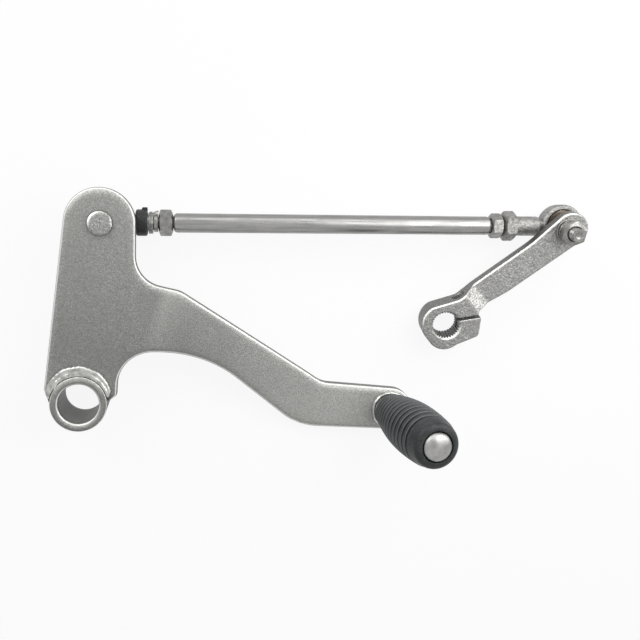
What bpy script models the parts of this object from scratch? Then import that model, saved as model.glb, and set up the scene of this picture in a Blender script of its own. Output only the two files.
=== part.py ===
"""Gear shift linkage of a motorcycle: lever plate with toe peg, tie rod with two ball joints, and
shift arm with a splined clamp. It lies flat on the ground as its three bodies come to rest.

Metres, +Z up. The origin is the lever's pivot axis where it meets the ground, +X runs along the
tie rod to the shift arm, and +Y runs from the pivot to the left ball stud.
"""

import math

import bmesh
import bpy
from mathutils import Euler, Matrix, Vector

CLEARANCE = 0.0003          # between two pieces that touch or slide
TURN_STEPS = 24             # facets round a turned piece
TUBE_STEPS = 36             # facets round the pivot tube and the eye of the rod end
MOUTH_STEPS = 32            # facets round the bores that are cut into the shift arm
ARC_STEP = math.radians(10) # longest turn and chord of a step along a rounded corner
ARC_CHORD = 0.004

# Lever plate: a stamped head round the ball stud, two ears on the pivot tube and a bent arm
PLATE_THICKNESS = 0.0046
PLATE_FRONT_ROUND = 0.0016
PLATE_BACK_ROUND = 0.0004
HEAD_RADIUS = 0.0150
STUD_X = 0.0103
STUD_Y = 0.0770
LEFT_EAR_OVERHANG = 0.0024  # how far the ears stand out beside the tube
RIGHT_EAR_OVERHANG = 0.0040
LEFT_EAR_RISE = 0.0062      # height of the ears' corners above the tube's axis
RIGHT_EAR_RISE = 0.0030
EAR_FOOT = 0.0007           # height at which the ears end on the tube
THROAT_OVERHANG = 0.0050    # right edge of the plate above the ear, beside the tube
THROAT_TOP_Y = 0.0220       # underside of the arm where it leaves the plate
THROAT_RADIUS = 0.0150
NECK_Y = 0.0528             # crook between head and arm
NECK_RADIUS = 0.0130
SHOULDER_X = 0.0435         # where the arm's top edge turns downhill
SHOULDER_Y = 0.0481
BELLY_X = 0.0524            # where the arm's lower edge turns downhill
ELBOW_TOP_X = 0.1092        # where the edges level out towards the toe peg
ELBOW_TOP_RISE = 0.0026
ELBOW_LOW_X = 0.0978
ELBOW_LOW_RISE = -0.0182
TOE_X = 0.1425              # toe peg's axis on the arm
TOE_Y = -0.0115
TOE_END_RADIUS = 0.0104
FIRST_BEND_X = 0.0352       # bend lines of the arm, at their middle
FIRST_BEND_Y = 0.0337
FIRST_BEND_SLANT = 0.34
SECOND_BEND_X = 0.1025
SECOND_BEND_Y = -0.0055
SECOND_BEND_SLANT = 0.11
BEND_SOFTNESS = 0.09        # share of the ramp that each bend takes
BEND_CUTS = 26

# Pivot tube and its two weld beads
TUBE_BORE_RADIUS = 0.0086
TUBE_WALL = 0.0034
TUBE_PROUD = 0.0018         # how far the tube stands out of the plate's front
TUBE_CHAMFER = 0.0007
BEAD_WIDTH = 0.0044         # over the top of the tube
BEAD_END_WIDTH = 0.0020     # at the ears
BEAD_HEIGHT = 0.0015
BEAD_TURN = math.radians(12)  # above the tube's sides, where the beads start and end
BEAD_RIPPLE = 0.05
BEAD_RINGS = 30

# Toe peg and its rubber, along the peg's own axis from the arm's face
PEG_RADIUS = 0.0055
PEG_TENON_RADIUS = 0.0040
PEG_LEAN = math.radians(5)
PEG_FOOT_GAP = 0.0009
PEG_LENGTH = 0.0580
PEG_HEAD_RADIUS = 0.0064
PEG_HEAD_RIM = 0.0022
PEG_DOME_RISE = 0.0038
FOOT_BEAD_WIDTH = 0.0034
FOOT_BEAD_HEIGHT = 0.0016
RUBBER_START = 0.0029
RUBBER_FOOT_RADIUS = 0.0086
RUBBER_BELLY_RADIUS = 0.0119
RUBBER_BELLY_SHARE = 0.56   # share of the rubber's length at which it is thickest
RUBBER_END_RADIUS = 0.0101
RUBBER_END_ROUND = 0.0030
RUBBER_RIB_COUNT = 12
RUBBER_GROOVE_DEPTH = 0.0006
RUBBER_END_BAND = 0.0070
RUBBER_LIP = 0.0012         # how far the rubber's end stands past the rim of the peg's head

# Left ball joint, its stud riveted to the plate
STUD_BALL_RADIUS = 0.0050
STUD_NECK_RADIUS = 0.0028
STUD_REACH = 0.0079         # ball's centre to the back of the plate
STUD_FLANGE_RADIUS = 0.0042
STUD_FLANGE = 0.0005
STUD_TENON_RADIUS = 0.0030
RIVET_RADIUS = 0.0053
RIVET_HEIGHT = 0.0014
SEAT_RADIUS = 0.0070
SEAT_HALF = 0.0035
HOUSING_RADIUS = 0.0104
HOUSING_TOP = 0.0043        # above the ball's centre
HOUSING_LIP = 0.0005
HOUSING_MOUTH_RADIUS = 0.0060
CAP_THICKNESS = 0.0015
BOOT_FOOT_RADIUS = 0.0080
BOOT_TOP_RADIUS = 0.0048
BOOT_WALL = 0.0007
BOOT_HEIGHT = 0.0015
SHANK_RADIUS = 0.0038       # the housing's round shank towards the rod
SHANK_COLLAR_RADIUS = 0.0041
SHANK_GROOVE_RADIUS = 0.0032
SHANK_GROOVE_X = 0.0215
SHANK_GROOVE_WIDTH = 0.0007
SHANK_END_X = 0.0235
SLEEVE_START_X = 0.0140
SLEEVE_END_X = 0.0191
SLEEVE_RADIUS = 0.0058
SLEEVE_LUG_HEIGHT = 0.0009
SLEEVE_LUG_LENGTH = 0.0024
CLIP_WIRE_RADIUS = 0.0004
CLIP_X = 0.0201
CLIP_OPEN = math.radians(50)
CLIP_TAIL = 0.0024

# Tie rod, lock nuts and the M6 threads that they run on
LINK_LENGTH = 0.2100        # ball centre to ball centre
ROD_RADIUS = 0.00425
ROD_END_ROUND = 0.0008
ROD_SOCKET_DEPTH = 0.0180
THREAD_RADIUS = 0.0029
THREAD_TIP_CHAMFER = 0.0006
THREAD_ENGAGEMENT = 0.0150
NUT_ACROSS_FLATS = 0.0100
LEFT_NUT_THICKNESS = 0.0063
RIGHT_NUT_THICKNESS = 0.0056
NUT_BORE_RADIUS = 0.0032

# Right rod end, its race and ball
EYE_RADIUS = 0.0102
EYE_HALF = 0.0035
EYE_ROUND = 0.0007
EYE_BORE_RADIUS = 0.0079
NECK_SHANK_RADIUS = 0.0045
COLLAR_ACROSS_FLATS = 0.0120
COLLAR_LENGTH = 0.0063
COLLAR_X = 0.0226           # eye's centre to the near face of the collar
RACE_HALF = 0.0033
BALL_RADIUS = 0.00635
BALL_HALF = 0.0045
BALL_BORE_RADIUS = 0.0033

# Bolt through the ball, with washers and nut
BOLT_RADIUS = 0.0030
BOLT_HEAD_HEIGHT = 0.0040
BOLT_TIP_PROUD = 0.0048
BALL_WASHER_RADIUS = 0.0048
BALL_WASHER_THICKNESS = 0.0012
PLAIN_WASHER_RADIUS = 0.0058
PLAIN_WASHER_THICKNESS = 0.0012
SPRING_WASHER_RADIUS = 0.0052
SPRING_WASHER_THICKNESS = 0.0015
LINK_NUT_THICKNESS = 0.0050

# Shift arm in its own frame: its length from the bolt to the spline bore
ARM_HEADING = math.radians(220)
ARM_LENGTH = 0.0696
ARM_THICKNESS = 0.0065
ARM_END_RADIUS = 0.0079
ARM_HALF_WIDTH = 0.0060
ARM_WAIST_HALF = 0.0052
ARM_EDGE_ROUND = 0.0008
CLAMP_THICKNESS = 0.0120
CLAMP_RADIUS = 0.0108
CLAMP_TAB_LENGTH = 0.0165
CLAMP_TAB_DEPTH = 0.0078
CLAMP_SHOULDER = 0.0112
RAMP_FOOT = 0.0215          # before the spline bore, where the clamp starts to rise
RAMP_RUN = 0.0062
SLIT_TURN = math.radians(151.4)
SLIT_WIDTH = 0.0016
SLIT_OFFSET = 0.0019
SPLINE_COUNT = 30
SPLINE_MINOR_RADIUS = 0.0058
SPLINE_MAJOR_RADIUS = 0.0063
SPLINE_CHAMFER = 0.0006
MOUTH_TURN = math.radians(1.3)  # keeps the mouths' facets off the flanks of the teeth
PINCH_RADIUS = 0.0030
PINCH_OFFSET = 0.0080       # pinch hole's axis beside the spline bore's centre

# Worked out from the sizes above
NUT_CORNER = NUT_ACROSS_FLATS / 2 / math.cos(math.radians(30))
COLLAR_CORNER = COLLAR_ACROSS_FLATS / 2 / math.cos(math.radians(30))
HEAD_DEPTH = BALL_HALF + CLEARANCE + BOLT_HEAD_HEIGHT
ARM_BACK = BALL_HALF + CLEARANCE + BALL_WASHER_THICKNESS + CLEARANCE
ARM_FRONT = ARM_BACK + ARM_THICKNESS
CLAMP_FRONT = ARM_BACK + CLAMP_THICKNESS
# The arm droops at its ball until both the clamp and the bolt's head meet the ground
ARM_DROOP = math.atan((HEAD_DEPTH + ARM_BACK) / (ARM_LENGTH + CLAMP_RADIUS - NUT_CORNER))
LINK_HEIGHT = HEAD_DEPTH * math.cos(ARM_DROOP) + NUT_CORNER * math.sin(ARM_DROOP)
PLATE_BACK = LINK_HEIGHT + STUD_REACH
PLATE_FRONT = PLATE_BACK + PLATE_THICKNESS
TUBE_RADIUS = TUBE_BORE_RADIUS + TUBE_WALL
NOTCH_RADIUS = TUBE_RADIUS + CLEARANCE
THROAT_X = TUBE_RADIUS + THROAT_OVERHANG
LEFT_BALL = Vector((STUD_X, STUD_Y, LINK_HEIGHT))
RIGHT_BALL = LEFT_BALL + Vector((LINK_LENGTH, 0, 0))
LEFT_NUT_X = SHANK_END_X + CLEARANCE
ROD_START_X = LEFT_NUT_X + LEFT_NUT_THICKNESS + CLEARANCE
COLLAR_FAR_X = LINK_LENGTH - COLLAR_X - COLLAR_LENGTH
RIGHT_NUT_X = COLLAR_FAR_X - CLEARANCE - RIGHT_NUT_THICKNESS
ROD_END_X = RIGHT_NUT_X - CLEARANCE

COLLECTIONS = {}


def start_scene():
    """Empty the scene and make one collection for the parts and one for the cutters."""
    for old in list(bpy.data.objects):
        bpy.data.objects.remove(old, do_unlink=True)
    for name in ("gear_shift_linkage", "cutters"):
        collection = bpy.data.collections.new(name)
        bpy.context.scene.collection.children.link(collection)
        COLLECTIONS[name] = collection


def material(name, colour, roughness, metallic):
    """A plain Principled material."""
    made = bpy.data.materials.new(name)
    made.use_nodes = True
    shader = made.node_tree.nodes["Principled BSDF"]
    shader.inputs["Base Color"].default_value = (*colour, 1.0)
    shader.inputs["Roughness"].default_value = roughness
    shader.inputs["Metallic"].default_value = metallic
    return made


def finish(thing, finish_material, parent=None, smooth=False):
    """File an object with the parts and give it its material and parent."""
    COLLECTIONS["gear_shift_linkage"].objects.link(thing)
    thing.data.materials.clear()
    thing.data.materials.append(finish_material)
    if parent is not None:
        thing.parent = parent
    for face in thing.data.polygons:
        face.use_smooth = smooth
    return thing


def as_cutter(thing, parent=None):
    """File an object with the cutters, out of renders."""
    COLLECTIONS["cutters"].objects.link(thing)
    thing.hide_render = True
    thing.display_type = "WIRE"
    if parent is not None:
        thing.parent = parent
    return thing


def pivot(name, location, rotation=(0, 0, 0)):
    """An empty that carries the pieces of one body."""
    empty = bpy.data.objects.new(name, None)
    empty.location = location
    empty.rotation_euler = rotation
    empty.empty_display_size = 0.01
    COLLECTIONS["gear_shift_linkage"].objects.link(empty)
    return empty


def boolean(thing, cutter, operation="DIFFERENCE"):
    """Add an exact Boolean modifier."""
    step = thing.modifiers.new(operation.lower() + "_" + cutter.name, "BOOLEAN")
    step.operation = operation
    step.solver = "EXACT"
    step.object = cutter


def rounded(corners):
    """Points round a closed outline of (x, y, radius) corners, with each corner as an arc."""
    count = len(corners)
    points = [Vector((x, y)) for x, y, _ in corners]
    tangents = []
    for i in range(count):
        before = (points[i - 1] - points[i]).normalized()
        after = (points[(i + 1) % count] - points[i]).normalized()
        half = before.angle(after) / 2
        tangents.append(corners[i][2] / math.tan(half))
    shares = [1.0] * count
    for i in range(count):
        following = (i + 1) % count
        length = (points[following] - points[i]).length
        share = min(1.0, 0.999 * length / max(tangents[i] + tangents[following], 1e-9))
        shares[i] = min(shares[i], share)
        shares[following] = min(shares[following], share)
    outline = []
    for i in range(count):
        before = (points[i - 1] - points[i]).normalized()
        after = (points[(i + 1) % count] - points[i]).normalized()
        half = before.angle(after) / 2
        reach = tangents[i] * shares[i]
        radius = reach * math.tan(half)
        if radius < 1e-6:
            outline.append(points[i])
            continue
        centre = points[i] + (before + after).normalized() * (radius / math.sin(half))
        start = points[i] + before * reach - centre
        turn = math.pi - 2 * half
        if before.y * after.x - before.x * after.y < 0:
            turn = -turn
        steps = max(1, math.ceil(abs(turn) / ARC_STEP), math.ceil(abs(turn) * radius / ARC_CHORD))
        for k in range(steps + 1):
            angle = turn * k / steps
            spun = Vector((start.x * math.cos(angle) - start.y * math.sin(angle),
                           start.x * math.sin(angle) + start.y * math.cos(angle)))
            outline.append(centre + spun)
    return outline


def arc(centre, radius, start, end, step=ARC_STEP):
    """Points along an arc, from one angle to another."""
    steps = max(2, math.ceil(abs(end - start) / step))
    angles = [start + (end - start) * k / steps for k in range(steps + 1)]
    return [Vector((centre[0] + radius * math.cos(a), centre[1] + radius * math.sin(a)))
            for a in angles]


def extruded(name, outline, low, high):
    """A flat closed outline as a solid between two heights, made from a filled curve."""
    curve = bpy.data.curves.new(name + "_curve", "CURVE")
    curve.dimensions = "2D"
    curve.fill_mode = "BOTH"
    curve.extrude = (high - low) / 2
    spline = curve.splines.new("POLY")
    spline.points.add(len(outline) - 1)
    for point, place in zip(spline.points, outline):
        point.co = (place[0], place[1], 0, 1)
    spline.use_cyclic_u = True
    flat = bpy.data.objects.new(name + "_flat", curve)
    bpy.context.scene.collection.objects.link(flat)
    depsgraph = bpy.context.evaluated_depsgraph_get()
    mesh = bpy.data.meshes.new_from_object(flat.evaluated_get(depsgraph))
    bpy.data.objects.remove(flat, do_unlink=True)
    mesh.name = name
    mesh.transform(Matrix.Translation((0, 0, (low + high) / 2)))
    shape = bmesh.new()
    shape.from_mesh(mesh)
    bmesh.ops.remove_doubles(shape, verts=shape.verts, dist=1e-7)
    bmesh.ops.dissolve_limit(shape, angle_limit=math.radians(0.5), verts=shape.verts,
                             edges=shape.edges, use_dissolve_boundaries=False)
    bmesh.ops.recalc_face_normals(shape, faces=shape.faces)
    shape.to_mesh(mesh)
    shape.free()
    return bpy.data.objects.new(name, mesh)


def turned(name, profile, closed=False, steps=TURN_STEPS):
    """A turned piece round local Z: a profile of (radius, height) with a Screw modifier.

    The profile runs down the outer side from top to bottom. A closed one makes a ring.
    """
    mesh = bpy.data.meshes.new(name)
    points = [(max(radius, 0.0), 0.0, height) for radius, height in profile]
    edges = [(i, i + 1) for i in range(len(points) - 1)]
    if closed:
        edges.append((len(points) - 1, 0))
    mesh.from_pydata(points, edges, [])
    thing = bpy.data.objects.new(name, mesh)
    screw = thing.modifiers.new("turn", "SCREW")
    screw.axis = "Z"
    screw.angle = 2 * math.pi
    screw.steps = steps
    screw.render_steps = steps
    screw.use_merge_vertices = True
    screw.merge_threshold = 1e-6
    screw.use_normal_calculate = False
    screw.use_smooth_shade = False
    return thing


def ring_profile(inner, outer, low, high, edge=0.0):
    """Closed profile of a ring with an optional small chamfer on its outer edges."""
    if edge <= 0:
        return [(inner, high), (outer, high), (outer, low), (inner, low)]
    return [(inner, high), (outer - edge, high), (outer, high - edge), (outer, low + edge),
            (outer - edge, low), (inner, low)]


def baked(thing):
    """Replace an object that carries modifiers by its evaluated mesh."""
    bpy.context.scene.collection.objects.link(thing)
    depsgraph = bpy.context.evaluated_depsgraph_get()
    mesh = bpy.data.meshes.new_from_object(thing.evaluated_get(depsgraph))
    name = thing.name
    location = thing.location.copy()
    rotation = thing.rotation_euler.copy()
    bpy.data.objects.remove(thing, do_unlink=True)
    mesh.name = name
    made = bpy.data.objects.new(name, mesh)
    made.location = location
    made.rotation_euler = rotation
    return made


def loft(name, rings):
    """A closed solid through rings of points, with both ends capped."""
    shape = bmesh.new()
    rows = [[shape.verts.new(point) for point in ring] for ring in rings]
    size = len(rows[0])
    for row, following in zip(rows, rows[1:]):
        for k in range(size):
            other = (k + 1) % size
            shape.faces.new((row[k], row[other], following[other], following[k]))
    shape.faces.new(rows[0])
    shape.faces.new(rows[-1])
    bmesh.ops.recalc_face_normals(shape, faces=shape.faces)
    mesh = bpy.data.meshes.new(name)
    shape.to_mesh(mesh)
    shape.free()
    return bpy.data.objects.new(name, mesh)


def hexagon(corner_radius):
    """Corners of a hexagon with two of them on the local Y axis."""
    return [Vector((corner_radius * math.cos(math.radians(30 + 60 * k)),
                    corner_radius * math.sin(math.radians(30 + 60 * k)))) for k in range(6)]


def hex_piece(name, corner_radius, thickness, bore_radius, parent=None):
    """A hexagon from local z=0 up, with turned corners and a chamfered bore."""
    drop = (corner_radius - corner_radius * math.cos(math.radians(30))) * 0.62
    face_radius = corner_radius * 0.90
    entry = min(0.0004, thickness / 5)
    if bore_radius > 0:
        profile = [(bore_radius + entry, thickness), (face_radius, thickness),
                   (corner_radius * 1.01, thickness - drop), (corner_radius * 1.01, drop),
                   (face_radius, 0), (bore_radius + entry, 0), (bore_radius, entry),
                   (bore_radius, thickness - entry)]
    else:
        profile = [(0, thickness), (face_radius, thickness),
                   (corner_radius * 1.01, thickness - drop), (corner_radius * 1.01, drop),
                   (face_radius, 0), (0, 0)]
    limits = as_cutter(turned(name + "_turning", profile, closed=bore_radius > 0), parent)
    body = extruded(name, hexagon(corner_radius), -0.001, thickness + 0.001)
    boolean(body, limits, "INTERSECT")
    return body, limits


def place(things, location, rotation):
    """Set the same local place on an object and its cutters."""
    for thing in things:
        thing.location = location
        thing.rotation_euler = rotation


def along_x():
    """Rotation that lays a turned piece's local Z along +X."""
    return Euler((0, math.radians(90), 0))


def plate_outline():
    """The stamped outline, anticlockwise from the left end of the notch over the tube."""
    foot = math.asin(EAR_FOOT / NOTCH_RADIUS)
    notch = arc((0, 0), NOTCH_RADIUS, math.pi - foot, foot, math.radians(9))
    toe = [(TOE_X + TOE_END_RADIUS, TOE_Y - TOE_END_RADIUS, TOE_END_RADIUS),
           (TOE_X + TOE_END_RADIUS, TOE_Y + TOE_END_RADIUS - 0.0008, TOE_END_RADIUS)]
    corners = [
        (notch[-1].x, notch[-1].y, 0),
        (TUBE_RADIUS + RIGHT_EAR_OVERHANG, RIGHT_EAR_RISE, 0.0015),
        (THROAT_X, THROAT_TOP_Y, THROAT_RADIUS),
        (BELLY_X, THROAT_TOP_Y - 0.0010, 0.0600),
        (ELBOW_LOW_X, ELBOW_LOW_RISE, 0.0300),
        *toe,
        (ELBOW_TOP_X, ELBOW_TOP_RISE, 0.0120),
        (SHOULDER_X, SHOULDER_Y, 0.0110),
        (STUD_X + HEAD_RADIUS - 0.0008, NECK_Y, NECK_RADIUS),
        (STUD_X + HEAD_RADIUS, STUD_Y + HEAD_RADIUS, HEAD_RADIUS),
        (STUD_X - 0.885 * HEAD_RADIUS, STUD_Y + HEAD_RADIUS, HEAD_RADIUS),
        (-TUBE_RADIUS - LEFT_EAR_OVERHANG, LEFT_EAR_RISE, 0.0018),
        (notch[0].x, notch[0].y, 0),
    ]
    path = rounded(corners)
    return path[:-1] + notch[:-1]


def bend_share(x, y):
    """How far down the arm's ramp a point lies: 0 on the plate, 1 at the toe peg."""
    first = FIRST_BEND_X + FIRST_BEND_SLANT * (y - FIRST_BEND_Y)
    second = SECOND_BEND_X + SECOND_BEND_SLANT * (y - SECOND_BEND_Y)
    share = (x - first) / (second - first)
    soft = BEND_SOFTNESS

    def knee(value):
        """A ramp that starts softly at 0."""
        if value <= -soft:
            return 0.0
        if value >= soft:
            return value
        return (value + soft) ** 2 / (4 * soft)

    return knee(share) - knee(share - 1)


def lever_plate(steel):
    """Flat stamping with rolled edges, cut into strips and bent down to the toe peg."""
    thing = extruded("lever_plate", plate_outline(), PLATE_BACK, PLATE_FRONT)
    shape = bmesh.new()
    shape.from_mesh(thing.data)
    for height, size in ((PLATE_FRONT, PLATE_FRONT_ROUND), (PLATE_BACK, PLATE_BACK_ROUND)):
        rim = []
        for edge in shape.edges:
            level = all(abs(vert.co.z - height) < 1e-6 for vert in edge.verts)
            middle = (edge.verts[0].co + edge.verts[1].co) / 2
            steep = any(abs(face.normal.z) < 0.2 for face in edge.link_faces)
            if level and steep and middle.xy.length > NOTCH_RADIUS + 1e-5:
                rim.append(edge)
        bmesh.ops.bevel(shape, geom=rim, offset=size, offset_type="OFFSET", segments=3,
                        profile=0.5, affect="EDGES", clamp_overlap=True)
    reach = 0.012
    for k in range(BEND_CUTS):
        start = FIRST_BEND_X - reach
        station = start + (SECOND_BEND_X + reach - start) * k / (BEND_CUTS - 1)
        everything = shape.verts[:] + shape.edges[:] + shape.faces[:]
        bmesh.ops.bisect_plane(shape, geom=everything, dist=1e-7, plane_co=(station, 0, 0),
                               plane_no=(1, 0.2, 0))
    bmesh.ops.triangulate(shape, faces=[face for face in shape.faces if len(face.verts) > 4])
    for vert in shape.verts:
        vert.co.z -= PLATE_BACK * bend_share(vert.co.x, vert.co.y)
    shape.to_mesh(thing.data)
    shape.free()
    stud_hole = as_cutter(turned("stud_hole", [(0, PLATE_FRONT + 0.002),
                                               (STUD_TENON_RADIUS + CLEARANCE, PLATE_FRONT + 0.002),
                                               (STUD_TENON_RADIUS + CLEARANCE, PLATE_BACK - 0.002),
                                               (0, PLATE_BACK - 0.002)]))
    stud_hole.location = (STUD_X, STUD_Y, 0)
    tenon_room = PEG_TENON_RADIUS + CLEARANCE + PLATE_THICKNESS * math.sin(PEG_LEAN)
    peg_hole = as_cutter(turned("peg_hole", [(0, 2 * PLATE_THICKNESS), (tenon_room, 2 * PLATE_THICKNESS),
                                             (tenon_room, -PLATE_THICKNESS), (0, -PLATE_THICKNESS)]))
    peg_hole.location = (TOE_X, TOE_Y, 0)
    boolean(thing, stud_hole)
    boolean(thing, peg_hole)
    return finish(thing, steel)


def pivot_tube(steel):
    """Turned tube from the ground to just past the plate's front."""
    top = PLATE_FRONT + TUBE_PROUD
    edge = TUBE_CHAMFER
    profile = [(TUBE_BORE_RADIUS + edge, top), (TUBE_RADIUS - edge / 2, top),
               (TUBE_RADIUS, top - edge / 2), (TUBE_RADIUS, edge / 2), (TUBE_RADIUS - edge / 2, 0),
               (TUBE_BORE_RADIUS + edge, 0), (TUBE_BORE_RADIUS, edge), (TUBE_BORE_RADIUS, top - edge)]
    return finish(turned("pivot_tube", profile, closed=True, steps=TUBE_STEPS), steel)


def weld_bead(name, base, direction, steel):
    """A rippled fillet bead over the tube's upper half, on one face of the plate."""
    inner = TUBE_RADIUS + CLEARANCE
    rings = []
    for k in range(BEAD_RINGS + 1):
        share = k / BEAD_RINGS
        angle = BEAD_TURN + (math.pi - 2 * BEAD_TURN) * share
        ripple = 1 + BEAD_RIPPLE * math.sin(2.1 * k) * math.cos(0.7 * k)
        full = BEAD_END_WIDTH + (BEAD_WIDTH - BEAD_END_WIDTH) * math.sin(math.pi * share)
        width = full * ripple * (1 if 0 < k < BEAD_RINGS else 0.75)
        height = BEAD_HEIGHT * ripple * (1 if 0 < k < BEAD_RINGS else 0.6)
        section = [(0, 0), (width, 0), (0.90 * width, 0.45 * height), (0.74 * width, 0.74 * height),
                   (0.52 * width, 0.68 * height), (0.28 * width, 0.95 * height), (0, height)]
        outward = Vector((math.cos(angle), math.sin(angle), 0))
        rings.append([outward * (inner + across) + Vector((0, 0, base + direction * up))
                      for across, up in section])
    return finish(loft(name, rings), steel)


def toe_pieces(steel, weld_steel, rubber):
    """The leaning toe peg, the bead round its foot and the ribbed rubber over it."""
    toe = pivot("toe_peg_axis", (TOE_X, TOE_Y, PLATE_THICKNESS), (0, PEG_LEAN, 0))
    head_low = PEG_LENGTH - PEG_DOME_RISE - PEG_HEAD_RIM
    rim_top = PEG_LENGTH - PEG_DOME_RISE
    dome = [(PEG_HEAD_RADIUS * math.sin(t), rim_top + PEG_DOME_RISE * math.cos(t))
            for t in [math.radians(90) * k / 6 for k in range(7)]]
    tenon_end = -PLATE_THICKNESS + 0.0008
    profile = dome + [(PEG_HEAD_RADIUS, head_low), (PEG_RADIUS, head_low),
                      (PEG_RADIUS, PEG_FOOT_GAP), (PEG_TENON_RADIUS, PEG_FOOT_GAP),
                      (PEG_TENON_RADIUS, tenon_end), (0, tenon_end)]
    finish(turned("toe_peg", profile), steel, toe)

    foot = PLATE_THICKNESS + CLEARANCE
    inner = PEG_RADIUS + CLEARANCE + (PEG_FOOT_GAP + FOOT_BEAD_HEIGHT) * math.sin(PEG_LEAN)
    outer = inner + FOOT_BEAD_WIDTH
    bead = turned("toe_peg_weld", [
        (inner, foot + FOOT_BEAD_HEIGHT), (inner + 0.35 * FOOT_BEAD_WIDTH, foot + 0.9 * FOOT_BEAD_HEIGHT),
        (inner + 0.75 * FOOT_BEAD_WIDTH, foot + 0.55 * FOOT_BEAD_HEIGHT), (outer, foot),
        (inner, foot)], closed=True)
    bead.location = (TOE_X, TOE_Y, 0)
    finish(bead, weld_steel)

    top = rim_top + RUBBER_LIP
    bore = PEG_RADIUS + CLEARANCE
    pocket = PEG_HEAD_RADIUS + CLEARANCE
    pocket_low = head_low - CLEARANCE
    ribbed = top - RUBBER_END_BAND - RUBBER_START

    def barrel(height):
        """Outer radius of the rubber at a height."""
        share = (height - RUBBER_START) / (top - RUBBER_START)
        if share < RUBBER_BELLY_SHARE:
            swell = math.sin(share / RUBBER_BELLY_SHARE * math.pi / 2)
            return RUBBER_FOOT_RADIUS + (RUBBER_BELLY_RADIUS - RUBBER_FOOT_RADIUS) * swell
        fade = (share - RUBBER_BELLY_SHARE) / (1 - RUBBER_BELLY_SHARE)
        return RUBBER_BELLY_RADIUS - (RUBBER_BELLY_RADIUS - RUBBER_END_RADIUS) * fade ** 2

    profile = [(pocket, top)]
    for turn in (0, 30, 60, 90):
        height = top - RUBBER_END_ROUND * (1 - math.cos(math.radians(turn)))
        inset = RUBBER_END_ROUND * (1 - math.sin(math.radians(turn)))
        profile.append((RUBBER_END_RADIUS - inset, height))
    pitch = ribbed / RUBBER_RIB_COUNT
    for k in range(RUBBER_RIB_COUNT):
        high = top - RUBBER_END_BAND - k * pitch
        for down, depth in ((0.0, 0), (0.18, 1), (0.40, 1), (0.58, 0)):
            height = high - down * pitch
            profile.append((barrel(height) - depth * RUBBER_GROOVE_DEPTH, height))
    profile += [(RUBBER_FOOT_RADIUS - 0.0004, RUBBER_START), (bore, RUBBER_START),
                (bore, pocket_low), (pocket, pocket_low)]
    finish(turned("toe_rubber", profile, closed=True), rubber, toe)


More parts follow.
